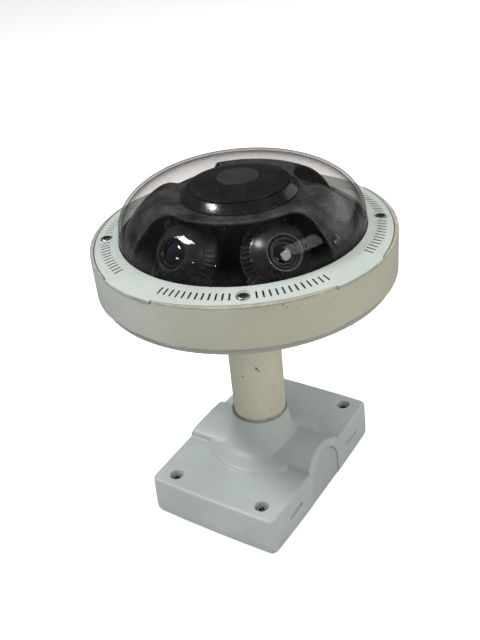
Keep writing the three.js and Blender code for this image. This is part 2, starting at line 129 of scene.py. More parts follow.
TRACK_RADIUS = 67.7
# Each opening in the shroud: from, to and how close to the pipe's axis it reaches.
SHROUD_OPENINGS = ((-120.0, -13.0, 64.5), (26.0, 70.0, 50.5), (138.0, 189.0, 50.5))
OPENING_CORNER = 13.0
TEETH = 44
BALL_RADIUS = 29.4
BALL_INNER = 26.9
CUP_INNER = 30.3
CUP_OUTER = 31.9


# ------------------------------------------------------------ shape tools

def polar(radius, azimuth, z=0.0):
    a = math.radians(azimuth)
    return Vector((radius * math.cos(a), radius * math.sin(a), z))


def softened(corners, radius=0.4, steps=3):
    """An outline with rounded corners. A corner may carry a radius of its own as third value.
    An outline that starts and ends on the axis keeps those two points."""
    on_axis = corners[0][0] == 0 and corners[-1][0] == 0
    outline = []
    for i, corner in enumerate(corners):
        if on_axis and i in (0, len(corners) - 1):
            outline.append(corner[:2])
            continue
        point = Vector(corner[:2])
        back = Vector(corners[i - 1][:2]) - point
        ahead = Vector(corners[(i + 1) % len(corners)][:2]) - point
        wanted = corner[2] if len(corner) > 2 else radius
        length = min(wanted, 0.45 * back.length, 0.45 * ahead.length)
        start = point + back.normalized() * length
        end = point + ahead.normalized() * length
        for s in range(steps + 1):
            t = s / steps
            bend = start * (1 - t) ** 2 + point * 2 * t * (1 - t) + end * t * t
            outline.append((bend.x, bend.y))
    return outline


def turned(profile, steps=192):
    """Points and faces of a profile of (radius, height) turned about the upright axis.
    The profile may be a function of the azimuth, and steps a list of azimuths."""
    azimuths = steps if isinstance(steps, list) else [360 * k / steps for k in range(steps)]
    rows = [profile(a) if callable(profile) else profile for a in azimuths]
    count = len(rows[0])
    solid = rows[0][0][0] == 0
    points = [polar(r, a, z) for a, row in zip(azimuths, rows) for r, z in row]
    faces = []
    for k in range(len(azimuths)):
        here = k * count
        after = (k + 1) % len(azimuths) * count
        for j in range(count - 1 if solid else count):
            up = (j + 1) % count
            faces.append((here + j, after + j, after + up, here + up))
    return points, faces


def lofted(layers):
    """Points and faces of a solid through outlines of equal length, each with its height."""
    count = len(layers[0][0])
    points = [Vector((x, y, z)) for outline, z in layers for x, y in outline]
    faces = [tuple(range(count))[::-1]]
    for level in range(len(layers) - 1):
        a = level * count
        for k in range(count):
            b = (k + 1) % count
            faces.append((a + k, a + b, a + count + b, a + count + k))
    top = (len(layers) - 1) * count
    faces.append(tuple(range(top, top + count)))
    return points, faces


def slab(outline, low, high, edge=0.0):
    """An upright prism, its top and bottom edges eased by edge."""
    if not edge:
        return lofted([(outline, low), (outline, high)])
    middle = sum((Vector(p) for p in outline), Vector((0, 0))) / len(outline)
    inner = []
    for x, y in outline:
        arm = Vector((x, y)) - middle
        inner.append(tuple(middle + arm * (1 - edge / max(arm.length, edge))))
    return lofted([(inner, low), (outline, low + edge), (outline, high - edge), (inner, high)])


def rod(radius, low, high, x=0.0, y=0.0, sides=40):
    points, faces = turned([(0, low), (radius, low), (radius, high), (0, high)], sides)
    return [p + Vector((x, y, 0)) for p in points], faces


def block(size, centre, edge=0.0):
    sx, sy, sz = (s / 2 for s in size)
    outline = softened([(-sx, -sy), (sx, -sy), (sx, sy), (-sx, sy)], edge, 2)
    points, faces = slab(outline, -sz, sz, edge * 0.6)
    return [p + Vector(centre) for p in points], faces


def placed(shape, matrix):
    points, faces = shape
    return [matrix @ p for p in points], faces


def together(*shapes):
    points = []
    faces = []
    for more, ring in shapes:
        start = len(points)
        points += more
        faces += [tuple(start + i for i in face) for face in ring]
    return points, faces


def laid_along_x(shape):
    """Takes a shape drawn in (y, z) with its depth upright and lays the depth along X."""
    points, faces = shape
    return [Vector((p.z, p.x, p.y)) for p in points], faces


def new_object(name, shape):
    points, faces = shape
    mesh = bpy.data.meshes.new(name)
    mesh.from_pydata([p * MM for p in points], [], faces)
    work = bmesh.new()
    work.from_mesh(mesh)
    bmesh.ops.remove_doubles(work, verts=work.verts, dist=2e-7)
    bmesh.ops.recalc_face_normals(work, faces=work.faces)
    work.to_mesh(mesh)
    work.free()
    made = bpy.data.objects.new(name, mesh)
    scene.collection.objects.link(made)
    return made


def settle(piece):
    """Makes the piece's modifiers permanent."""
    bpy.context.view_layer.update()
    graph = bpy.context.evaluated_depsgraph_get()
    mesh = bpy.data.meshes.new_from_object(piece.evaluated_get(graph))
    piece.modifiers.clear()
    old = piece.data
    piece.data = mesh
    bpy.data.meshes.remove(old)


def carve(piece, shape, operation="DIFFERENCE"):
    tool = new_object("carving_tool", shape)
    step = piece.modifiers.new("carve", "BOOLEAN")
    step.operation = operation
    step.object = tool
    step.solver = "MANIFOLD"
    settle(piece)
    bpy.data.objects.remove(tool)


def ease_edges(piece, width):
    """Bevels every edge that turns by more than 40 degrees."""
    step = piece.modifiers.new("ease", "BEVEL")
    step.width = width * MM
    step.segments = 2
    step.limit_method = "ANGLE"
    step.angle_limit = math.radians(40)
    step.use_clamp_overlap = True
    settle(piece)


def finish_piece(piece, finishes, body, nodes=(), sharp=32.0):
    """Gives a piece its materials, its shading, its CAD body and the nodes it stands for."""
    piece.data.materials.clear()
    for finish in finishes if isinstance(finishes, (list, tuple)) else [finishes]:
        piece.data.materials.append(finish)
    piece.data.shade_smooth()
    piece.data.set_sharp_from_angle(angle=math.radians(sharp))
    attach(piece, body)
    if nodes:
        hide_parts(*nodes)
    return piece


def mark_faces(piece, wanted):
    """Gives a piece's second finish to the faces whose middle passes the test."""
    picks = [1 if wanted(face.center / MM) else 0 for face in piece.data.polygons]
    piece.data.polygons.foreach_set("material_index", picks)


# --------------------------------------------------------- material tools

class Recipe:
    """Adds nodes to a material or a node group, one ingredient at a time."""

    def __init__(self, tree):
        self.tree = tree

    def node(self, kind, **settings):
        made = self.tree.nodes.new(kind)
        for key, value in settings.items():
            setattr(made, key, value)
        return made

    def feed(self, socket, value):
        if isinstance(value, bpy.types.NodeSocket):
            self.tree.links.new(value, socket)
        else:
            socket.default_value = value

    def math(self, operation, first, second=0.0):
        made = self.node("ShaderNodeMath", operation=operation)
        self.feed(made.inputs[0], first)
        self.feed(made.inputs[1], second)
        return made.outputs[0]

    def times(self, first, second):
        return self.math("MULTIPLY", first, second)

    def spread(self, value, low, high, to_low=0.0, to_high=1.0):
        """Maps value from low..high to to_low..to_high, with soft ends."""
        made = self.node("ShaderNodeMapRange", interpolation_type="SMOOTHSTEP")
        for socket, given in zip(made.inputs, (value, low, high, to_low, to_high)):
            self.feed(socket, given)
        return made.outputs[0]

    def mix(self, amount, first, second):
        made = self.node("ShaderNodeMix", data_type="RGBA")
        self.feed(made.inputs[0], amount)
        self.feed(made.inputs[6], first)
        self.feed(made.inputs[7], second)
        return made.outputs[2]

    def noise(self, place, scale, detail=3.0, rough=0.5):
        made = self.node("ShaderNodeTexNoise")
        self.feed(made.inputs["Vector"], place)
        self.feed(made.inputs["Scale"], scale)
        self.feed(made.inputs["Detail"], detail)
        self.feed(made.inputs["Roughness"], rough)
        return made.outputs[0]

    def place(self):
        return self.node("ShaderNodeTexCoord").outputs["Object"]

    def group(self, tree, **values):
        made = self.node("ShaderNodeGroup")
        made.node_tree = tree
        for key, value in values.items():
            self.feed(made.inputs[key.replace("_", " ")], value)
        return made

    def bump(self, height, strength, distance):
        made = self.node("ShaderNodeBump")
        made.inputs["Strength"].default_value = strength
        made.inputs["Distance"].default_value = distance * MM
        self.feed(made.inputs["Height"], height)
        return made.outputs[0]


def shade_group(name, inputs, outputs):
    """A node group with named inputs (name, kind, default) and outputs (name, kind)."""
    tree = bpy.data.node_groups.new(name, "ShaderNodeTree")
    for title, kind, default in inputs:
        socket = tree.interface.new_socket(title, in_out="INPUT", socket_type="NodeSocket" + kind)
        socket.default_value = default
    for title, kind in outputs:
        tree.interface.new_socket(title, in_out="OUTPUT", socket_type="NodeSocket" + kind)
    recipe = Recipe(tree)
    return recipe, recipe.node("NodeGroupInput").outputs, recipe.node("NodeGroupOutput").inputs


def paint_skin_group():
    """Orange peel of a sprayed coat, and its slow change of tone."""
    r, given, out = shade_group(
        "paint_skin",
        [("Peel Size", "Float", 1.0), ("Tone Size", "Float", 40.0)],
        [("Height", "Float"), ("Tone", "Float")],
    )
    place = r.place()
    peel = r.noise(place, r.math("DIVIDE", 1000.0, given["Peel Size"]), 2.0, 0.45)
    tone = r.noise(place, r.math("DIVIDE", 1000.0, given["Tone Size"]), 5.0, 0.6)
    r.feed(out["Height"], peel)
    r.feed(out["Tone"], r.spread(tone, 0.3, 0.7))
    return r.tree


def edge_rub_group():
    """Where hands and boxes rub: outer edges, broken up."""
    r, given, out = shade_group("edge_rub", [("Reach", "Float", 0.03)], [("Mask", "Float")])
    edge = r.node("ShaderNodeNewGeometry").outputs["Pointiness"]
    lifted = r.math("SUBTRACT", edge, 0.5)
    broken = r.noise(r.place(), 700.0, 4.0, 0.7)
    rubbed = r.times(r.spread(lifted, 0.0, given["Reach"]), r.spread(broken, 0.42, 0.62))
    r.feed(out["Mask"], rubbed)
    return r.tree


def grime_group():
    """Thin dirt in patches, with a speckle of darker grains in it."""
    r, given, out = shade_group(
        "grime",
        [("Patch Size", "Float", 30.0), ("Cover", "Float", 0.5)],
        [("Mask", "Float"), ("Specks", "Float")],
    )
    place = r.place()
    patch = r.noise(place, r.math("DIVIDE", 1000.0, given["Patch Size"]), 6.0, 0.65)
    low = r.math("SUBTRACT", 0.75, r.times(given["Cover"], 0.5))
    r.feed(out["Mask"], r.spread(patch, low, r.math("ADD", low, 0.3)))
    grains = r.node("ShaderNodeTexVoronoi")
    r.feed(grains.inputs["Vector"], place)
    grains.inputs["Scale"].default_value = 160.0
    chosen = r.math("LESS_THAN", grains.outputs["Distance"], 0.07)
    rare = r.math("GREATER_THAN", r.noise(place, 60.0, 2.0), 0.62)
    r.feed(out["Specks"], r.times(chosen, rare))
    return r.tree


def chip_group():
    """One ragged chip or mark about a point."""
    r, given, out = shade_group(
        "chip",
        [("Centre", "Vector", (0.0, 0.0, 0.0)), ("Size", "Float", 1.0), ("Ragged", "Float", 0.5)],
        [("Mask", "Float")],
    )
    place = r.place()
    away = r.node("ShaderNodeVectorMath", operation="DISTANCE")
    r.feed(away.inputs[0], place)
    r.feed(away.inputs[1], given["Centre"])
    rough = r.math("SUBTRACT", r.noise(place, 900.0, 4.0, 0.7), 0.5)
    far = r.math("DIVIDE", r.times(away.outputs["Value"], 1000.0), given["Size"])
    ragged = r.math("ADD", far, r.times(rough, r.times(given["Ragged"], 4.0)))
    r.feed(out["Mask"], r.spread(ragged, 1.15, 0.85))
    return r.tree


def level_group():
    """A level band between two heights in millimetres, feathered and broken up."""
    r, given, out = shade_group(
        "level_band",
        [("Low", "Float", 0.0), ("High", "Float", 1.0), ("Feather", "Float", 0.5),
         ("Broken", "Float", 0.5)],
        [("Mask", "Float")],
    )
    place = r.place()
    split = r.node("ShaderNodeSeparateXYZ")
    r.feed(split.inputs[0], place)
    height = r.times(split.outputs["Z"], 1000.0)
    rise = r.spread(height, r.math("SUBTRACT", given["Low"], given["Feather"]), given["Low"])
    fall = r.spread(height, r.math("ADD", given["High"], given["Feather"]), given["High"])
    patch = r.spread(r.noise(place, 90.0, 5.0, 0.7), 0.35, 0.65)
    kept = r.math("SUBTRACT", 1.0, r.times(given["Broken"], patch))
    r.feed(out["Mask"], r.times(r.times(rise, fall), kept))
    return r.tree


def dust_and_sheen_group():
    """Dust and lint that lies on what faces up; where the amount is high, the lighter tone there is also
    a painted highlight.
    """
    r, given, out = shade_group(
        "dust_and_sheen", [("Amount", "Float", 0.5)], [("Mask", "Float"), ("Lint", "Float")]
    )
    place = r.place()
    up = r.node("ShaderNodeSeparateXYZ")
    r.feed(up.inputs[0], r.node("ShaderNodeNewGeometry").outputs["Normal"])
    facing = r.spread(up.outputs["Z"], 0.1, 0.95)
    cloud = r.spread(r.noise(place, 45.0, 6.0, 0.7), 0.3, 0.8)
    r.feed(out["Mask"], r.times(r.times(facing, cloud), given["Amount"]))
    lint = r.node("ShaderNodeTexVoronoi")
    r.feed(lint.inputs["Vector"], place)
    lint.inputs["Scale"].default_value = 260.0
    dot = r.math("LESS_THAN", lint.outputs["Distance"], 0.09)
    thin = r.math("GREATER_THAN", r.noise(place, 120.0, 2.0), 0.6)
    r.feed(out["Lint"], r.times(r.times(dot, thin), given["Amount"]))
    return r.tree


def scratch_group():
    """Fine hair scratches that run every way."""
    r, given, out = shade_group("hair_scratches", [("Size", "Float", 20.0)], [("Mask", "Float")])
    place = r.place()
    bent = r.node("ShaderNodeVectorMath", operation="MULTIPLY_ADD")
    swirl = r.node("ShaderNodeTexNoise")
    r.feed(swirl.inputs["Vector"], place)
    swirl.inputs["Scale"].default_value = 30.0
    r.feed(bent.inputs[0], swirl.outputs["Color"])
    bent.inputs[1].default_value = (0.06, 0.06, 0.06)
    r.feed(bent.inputs[2], place)
    lines = r.node("ShaderNodeTexVoronoi", feature="DISTANCE_TO_EDGE")
    r.feed(lines.inputs["Vector"], bent.outputs[0])
    r.feed(lines.inputs["Scale"], r.math("DIVIDE", 1000.0, given["Size"]))
    thin = r.spread(lines.outputs["Distance"], 0.012, 0.0)
    rare = r.spread(r.noise(place, 70.0, 3.0), 0.52, 0.62)
    r.feed(out["Mask"], r.times(thin, rare))
    return r.tree


PAINT_SKIN = paint_skin_group()
EDGE_RUB = edge_rub_group()
GRIME = grime_group()
CHIP = chip_group()
LEVEL = level_group()
DUST_AND_SHEEN = dust_and_sheen_group()
SCRATCHES = scratch_group()


def new_finish(name):
    material = bpy.data.materials.new(name)
    material.use_nodes = True
    shader = material.node_tree.nodes["Principled BSDF"]
    return Recipe(material.node_tree), shader, material


def rgba(colour):
    return (*colour, 1.0)


def shade(colour, by):
    return tuple(c * by for c in colour)


# --------------------------------------------------------------- finishes

DIRT = (0.10, 0.085, 0.06)
GREASE = (0.10, 0.10, 0.10)
PRIMER = (0.17, 0.16, 0.14)


def painted(name, colour, aged=None, aged_across=None, peel=0.9, rough=0.42, bands=(), chips=(),
            cover=0.35, rub=0.35):
    """Sprayed coat: peel, slow tone, ageing towards +X, grime in level bands, chips and rubbed edges.
    bands hold (low, high, feather, strength), chips (centre, size, ragged), all in millimetres."""
    r, shader, material = new_finish(name)
    skin = r.group(PAINT_SKIN, Peel_Size=peel, Tone_Size=55.0)
    grime = r.group(GRIME, Patch_Size=38.0, Cover=cover)
    tone = r.mix(skin.outputs["Tone"], rgba(shade(colour, 0.95)), rgba(shade(colour, 1.05)))
    if aged:
        split = r.node("ShaderNodeSeparateXYZ")
        r.feed(split.inputs[0], r.place())
        low, high = (v * MM for v in aged_across)
        across = r.spread(split.outputs["X"], low, high)
        tone = r.mix(across, tone, r.mix(skin.outputs["Tone"], rgba(aged), rgba(shade(aged, 1.06))))
    dirty = r.times(grime.outputs["Mask"], 0.16)
    tone = r.mix(dirty, tone, rgba(DIRT))
    for low, high, feather, strength in bands:
        band = r.group(LEVEL, Low=low, High=high, Feather=feather, Broken=0.7)
        tone = r.mix(r.times(band.outputs["Mask"], strength), tone, rgba(DIRT))
    tone = r.mix(r.times(grime.outputs["Specks"], 0.6), tone, rgba(DIRT))
    rubbed = r.times(r.group(EDGE_RUB, Reach=0.05).outputs["Mask"], rub)
    tone = r.mix(rubbed, tone, rgba(shade(colour, 0.62)))
    height = skin.outputs["Height"]
    for centre, size, ragged in chips:
        chip = r.group(CHIP, Centre=tuple(v * MM for v in centre), Size=size, Ragged=ragged)
        tone = r.mix(chip.outputs["Mask"], tone, rgba(PRIMER))
        height = r.math("SUBTRACT", height, r.times(chip.outputs["Mask"], 2.0))
    r.feed(shader.inputs["Base Color"], tone)
    worn = r.spread(grime.outputs["Mask"], 0.0, 1.0, rough - 0.04, rough + 0.14)
    r.feed(shader.inputs["Roughness"], worn)
    r.feed(shader.inputs["Normal"], r.bump(height, 0.35, 0.05))
    shader.inputs["Specular IOR Level"].default_value = 0.45
    return material


def bare_metal(name, colour, rough=0.3, grain=0.4, dirt=0.35, brushed=False):
    """Turned, plated or cast metal with a fine grain, tarnish and grime."""
    r, shader, material = new_finish(name)
    place = r.place()
    stretch = r.node("ShaderNodeMapping")
    stretch.inputs["Scale"].default_value = (1.0, 1.0, 14.0) if brushed else (1.0, 1.0, 1.0)
    r.feed(stretch.inputs["Vector"], place)
    fine = r.noise(stretch.outputs[0], 1000.0 / grain, 3.0, 0.6)
    grime = r.group(GRIME, Patch_Size=5.0, Cover=0.6)
    scratch = r.group(SCRATCHES, Size=6.0)
    tone = r.mix(fine, rgba(shade(colour, 0.82)), rgba(colour))
    tone = r.mix(r.times(grime.outputs["Mask"], dirt), tone, rgba(GREASE))
    tone = r.mix(r.times(scratch.outputs["Mask"], 0.4), tone, rgba(shade(colour, 1.2)))
    r.feed(shader.inputs["Base Color"], tone)
    shader.inputs["Metallic"].default_value = 1.0
    r.feed(shader.inputs["Roughness"], r.spread(fine, 0.2, 0.8, rough - 0.08, rough + 0.15))
    r.feed(shader.inputs["Normal"], r.bump(fine, 0.3, 0.03))
    return material


def moulded(name, colour, rough=0.4, texture=0.5, dust_and_sheen=0.25, relief=0.3):
    """Moulded plastic: spark-eroded grain, handling marks and dust on what faces up, which at high
    amounts also paints a highlight on those faces.
    """
    r, shader, material = new_finish(name)
    place = r.place()
    grain = r.noise(place, 1000.0 / texture, 2.0, 0.5)
    smear = r.noise(place, 42.0, 5.0, 0.6)
    dust_and_sheen_node = r.group(DUST_AND_SHEEN, Amount=dust_and_sheen)
    scratch = r.group(SCRATCHES, Size=14.0)
    rubbed = r.group(EDGE_RUB, Reach=0.06)
    # Lighter on up-facing faces: dust, and at high amounts a painted highlight.
    tone = r.mix(r.times(dust_and_sheen_node.outputs["Mask"], 0.35), rgba(colour), (0.30, 0.29, 0.28, 1))
    tone = r.mix(r.times(dust_and_sheen_node.outputs["Lint"], 0.8), tone, (0.55, 0.54, 0.52, 1))
    tone = r.mix(r.times(scratch.outputs["Mask"], 0.15), tone, (0.4, 0.4, 0.4, 1))
    tone = r.mix(r.times(rubbed.outputs["Mask"], 0.12), tone, (0.3, 0.3, 0.3, 1))
    r.feed(shader.inputs["Base Color"], tone)
    r.feed(shader.inputs["Roughness"], r.spread(smear, 0.3, 0.7, rough - 0.06, rough + 0.08))
    r.feed(shader.inputs["Normal"], r.bump(grain, relief, 0.02))
    return material


def rubber(name):
    """Matt black rubber with a chalky bloom."""
    r, shader, material = new_finish(name)
    bloom = r.noise(r.place(), 130.0, 5.0, 0.65)
    tone = r.mix(r.spread(bloom, 0.45, 0.8), (0.018, 0.018, 0.02, 1), (0.06, 0.06, 0.058, 1))
    r.feed(shader.inputs["Base Color"], tone)
    r.feed(shader.inputs["Roughness"], r.spread(bloom, 0.3, 0.7, 0.7, 0.9))
    r.feed(shader.inputs["Normal"], r.bump(r.noise(r.place(), 1600.0, 2.0), 0.3, 0.03))
    return material


def clear_moulding(name, tint, rim_tint, face_gloss=0.026, haze=0.007):
    """Clear plastic: what is behind shows through unbent, darker where the wall is seen edge on."""
    r, shader, material = new_finish(name)
    tree = material.node_tree
    facing = r.node("ShaderNodeLayerWeight")
    facing.inputs["Blend"].default_value = 0.5
    edge_on = facing.outputs["Facing"]
    power = r.math("POWER", edge_on, 5.0)
    mirror = r.math("MULTIPLY_ADD", power, 1.0 - face_gloss)
    mirror.node.inputs[2].default_value = face_gloss
    through = r.node("ShaderNodeBsdfTransparent")
    r.feed(through.inputs["Color"], r.mix(r.math("POWER", edge_on, 3.0), rgba(tint), rgba(rim_tint)))
    place = r.place()
    smear = r.noise(place, 26.0, 6.0, 0.65)
    specks = r.group(DUST_AND_SHEEN, Amount=0.6)
    shader.inputs["Base Color"].default_value = (0.02, 0.02, 0.02, 1)
    shader.inputs["Metallic"].default_value = 0.0
    shader.inputs["Specular IOR Level"].default_value = 1.0
    shader.inputs["IOR"].default_value = 2.6
    r.feed(shader.inputs["Roughness"], r.spread(smear, 0.35, 0.75, 0.012, 0.045))
    milky = r.node("ShaderNodeBsdfDiffuse")
    milky.inputs["Color"].default_value = (0.6, 0.58, 0.56, 1)
    film = r.times(r.spread(smear, 0.4, 0.75), haze)
    film = r.math("MAXIMUM", film, r.times(specks.outputs["Lint"], 0.35))
    surface = r.node("ShaderNodeMixShader")
    r.feed(surface.inputs[0], mirror)
    tree.links.new(through.outputs[0], surface.inputs[1])
    tree.links.new(shader.outputs[0], surface.inputs[2])
    filmed = r.node("ShaderNodeMixShader")
    r.feed(filmed.inputs[0], film)
    tree.links.new(surface.outputs[0], filmed.inputs[1])
    tree.links.new(milky.outputs[0], filmed.inputs[2])
    tree.links.new(filmed.outputs[0], tree.nodes["Material Output"].inputs["Surface"])
    return material


def coated_glass(name, colour, glint):
    """Dark lens glass with a thin coating that glints in one tint near its edge."""
    r, shader, material = new_finish(name)
    rim = r.node("ShaderNodeLayerWeight")
    rim.inputs["Blend"].default_value = 0.35
    smear = r.noise(r.place(), 300.0, 3.0)
    tone = r.mix(r.spread(rim.outputs["Facing"], 0.0, 0.7), rgba(colour), rgba(glint))
    r.feed(shader.inputs["Base Color"], tone)
    shader.inputs["Metallic"].default_value = 0.0
    shader.inputs["Specular IOR Level"].default_value = 0.9
    shader.inputs["Coat Weight"].default_value = 1.0
    shader.inputs["Coat Roughness"].default_value = 0.02
    r.feed(shader.inputs["Roughness"], r.spread(smear, 0.3, 0.7, 0.02, 0.06))
    return material


def circuit_green(name):
    """Solder mask over copper tracks."""
    r, shader, material = new_finish(name)
    place = r.place()
    tracks = r.node("ShaderNodeTexBrick")
    r.feed(tracks.inputs["Vector"], place)
    tracks.inputs["Scale"].default_value = 240.0
    tracks.inputs["Mortar Size"].default_value = 0.03
    tracks.inputs["Color1"].default_value = (0.012, 0.075, 0.045, 1)
    tracks.inputs["Color2"].default_value = (0.014, 0.085, 0.05, 1)
    tracks.inputs["Mortar"].default_value = (0.03, 0.15, 0.08, 1)
    dust_and_sheen_node = r.group(DUST_AND_SHEEN, Amount=0.4)
    tone = r.mix(r.times(dust_and_sheen_node.outputs["Mask"], 0.3), tracks.outputs["Color"],
                 (0.3, 0.29, 0.27, 1))
    r.feed(shader.inputs["Base Color"], tone)
    r.feed(shader.inputs["Roughness"], r.spread(r.noise(place, 200.0), 0.3, 0.7, 0.3, 0.45))
    r.feed(shader.inputs["Normal"], r.bump(tracks.outputs["Fac"], 0.3, 0.03))
    return material


BASE_COLOUR = (0.46, 0.505, 0.485)
RING_COLOUR = (0.475, 0.52, 0.49)
SKIRT_GREY = (0.44, 0.465, 0.425)
SKIRT_YELLOW = (0.475, 0.465, 0.36)
PIPE_COLOUR = (0.56, 0.54, 0.415)

on_pipe = [(-87.9, 127.1, 1.0, 0.5), (-55.5, 136.5, 1.5, 1.0), (-52.0, 133.8, 0.9, 0.8),
           (-17.4, 113.5, 0.7, 0.5), (-62.4, 95.8, 0.45, 0.3), (-32.7, 88.4, 0.6, 0.4)]
on_skirt = [(-45.3, 258.2, 0.8, 0.8), (-44.2, 256.0, 0.7, 0.9), (-50.4, 259.6, 0.6, 0.6),
            (-41.1, 253.5, 0.5, 0.4), (-29.3, 251.1, 0.55, 0.4), (-5.5, 247.7, 0.6, 0.4),
            (-13.3, 244.8, 0.45, 0.4)]
pipe_chips = [(polar(PIPE_RADIUS, a, z), size, ragged) for a, z, size, ragged in on_pipe]
skirt_chips = [(polar(SKIRT_RADIUS, a, z), size, ragged) for a, z, size, ragged in on_skirt]
base_chips = [
    (Vector((9.0, -BASE_HALF_Y - BOW_Y, 33.5)), 0.6, 0.4),
    (Vector((BASE_HALF_X - 3.0, -BASE_HALF_Y + 1.5, 3.5)), 0.9, 0.6),
    (Vector((-BASE_HALF_X + 8.0, -BASE_HALF_Y + 0.5, 35.0)), 0.5, 0.4),
]

base_paint = painted("base_paint", BASE_COLOUR, chips=base_chips, rub=0.25,
                     bands=[(COLLAR_TOP - 0.4, COLLAR_TOP + 1, 0.8, 0.4), (-1, 1.0, 2.0, 0.3)])
cover_paint = painted("conduit_cover_paint", shade(BASE_COLOUR, 0.93), rub=0.3,
                      chips=[(Vector((reach_of("base_housing") - 1.0, -4.4, 15.4)), 0.8, 0.5)])
ring_paint = painted("ring_paint", RING_COLOUR, rough=0.38, rub=0.3, cover=0.3,
                     bands=[(RING_BOTTOM - 1, 259.6, 0.5, 0.5)])
drum_paint = painted("drum_paint", SKIRT_GREY, aged=SKIRT_YELLOW, aged_across=(-75, 95),
                     chips=skirt_chips, rough=0.36, cover=0.4,
                     bands=[(SKIRT_RIM_TOP - 1.0, SKIRT_RIM_TOP + 1, 1.0, 0.45),
                            (SKIRT_BOTTOM, SKIRT_BOTTOM + 1.0, 1.2, 0.4)])
pipe_paint = painted("pipe_paint", PIPE_COLOUR, chips=pipe_chips, rough=0.40, cover=0.45,
                     bands=[(COLLAR_TOP - 2, COLLAR_TOP + 1.2, 2.2, 0.5), (195, 199, 3, 0.3)])
plate_paint = painted("plate_paint", (0.36, 0.37, 0.35), rough=0.45, cover=0.5)
zinc = bare_metal("zinc_plate", (0.62, 0.62, 0.60), rough=0.4, grain=0.8)
# Near-black finish for the faces inside the ring's slots and the screw recesses: painted shade where the
# recesses fall dark, with some dirt.
recess_shade_and_dirt = moulded("recess_shade_and_dirt", (0.03, 0.029, 0.027), rough=0.8, texture=0.2, dust_and_sheen=0.15)
steel = bare_metal("screw_steel", (0.60, 0.60, 0.59), rough=0.34, grain=0.3, dirt=0.35)
track_steel = bare_metal("rolled_steel", (0.60, 0.60, 0.60), rough=0.32, grain=0.5, brushed=True)
cast_alloy = bare_metal("cast_alloy", (0.52, 0.53, 0.54), rough=0.48, grain=1.1)
contact_gold = bare_metal("contact_gold", (0.85, 0.62, 0.25), rough=0.25, grain=0.2, dirt=0.1)
# The shroud's high amount lightens its up-facing shoulder: dust, and a painted highlight there.
shroud_black = moulded("shroud_black", (0.014, 0.014, 0.016), rough=0.26, texture=0.7, dust_and_sheen=1.0,
                       relief=0.12)
satin_black = moulded("satin_black", (0.012, 0.012, 0.013), rough=0.42, texture=0.5, dust_and_sheen=0.2)
head_black = moulded("head_black", (0.013, 0.013, 0.016), rough=0.30, texture=0.35, dust_and_sheen=0.25,
                     relief=0.12)
gloss_black = moulded("gloss_black", (0.006, 0.006, 0.007), rough=0.16, texture=0.3, dust_and_sheen=0.12,
                      relief=0.05)
disc_grey = moulded("cap_disc", (0.035, 0.038, 0.040), rough=0.34, texture=0.4, dust_and_sheen=0.3,
                    relief=0.15)
chip_black = moulded("chip_black", (0.02, 0.02, 0.022), rough=0.5, texture=0.3, dust_and_sheen=0.4)
rubber_black = rubber("rubber_black")
dome_clear = clear_moulding("dome_clear", (0.95, 0.94, 0.935), (0.76, 0.74, 0.73))
lens_glass = coated_glass("lens_glass", (0.004, 0.004, 0.008), (0.045, 0.03, 0.09))
sensor_glass = coated_glass("sensor_window", (0.02, 0.012, 0.05), (0.10, 0.06, 0.22))
board_green = circuit_green("board_green")


# ----------------------------------------------------------- camera, light

def look_from(azimuth, elevation, roll, place, focal):
    """A camera by its bearing: azimuth 0 looks along +Y, elevation is how far it looks down."""
    az, el, turn = (math.radians(v) for v in (azimuth, elevation, roll))
    right = Vector((math.cos(az), math.sin(az), 0))
    back = Vector((math.sin(az) * math.cos(el), -math.cos(az) * math.cos(el), math.sin(el)))
    up = back.cross(right)
    side = right * math.cos(turn) + up * math.sin(turn)
    head = up * math.cos(turn) - right * math.sin(turn)
    data = bpy.data.cameras.new("main_camera")
    data.lens = focal
    camera = bpy.data.objects.new("main_camera", data)
    camera.matrix_world = Matrix.Translation(place) @ Matrix((side, head, back)).transposed().to_4x4()
    scene.collection.objects.link(camera)
    scene.camera = camera


def area_light(name, bearing, elevation, distance, width, height, watts, colour=(1, 1, 1),
               mirrored=True):
    """A soft panel that stands in a direction from the drum and faces it."""
    centre = Vector((0, 0, 0.25))
    away = polar(math.cos(math.radians(elevation)), bearing, math.sin(math.radians(elevation)))
    data = bpy.data.lights.new(name, "AREA")
    data.shape = "RECTANGLE"
    data.size = width
    data.size_y = height
    data.energy = watts
    data.color = colour
    lamp = bpy.data.objects.new(name, data)
    lamp.visible_glossy = mirrored
    lamp.matrix_world = Matrix.Translation(centre + away * distance) @ away.to_track_quat(
        "Z", "Y").to_matrix().to_4x4()
    scene.collection.objects.link(lamp)


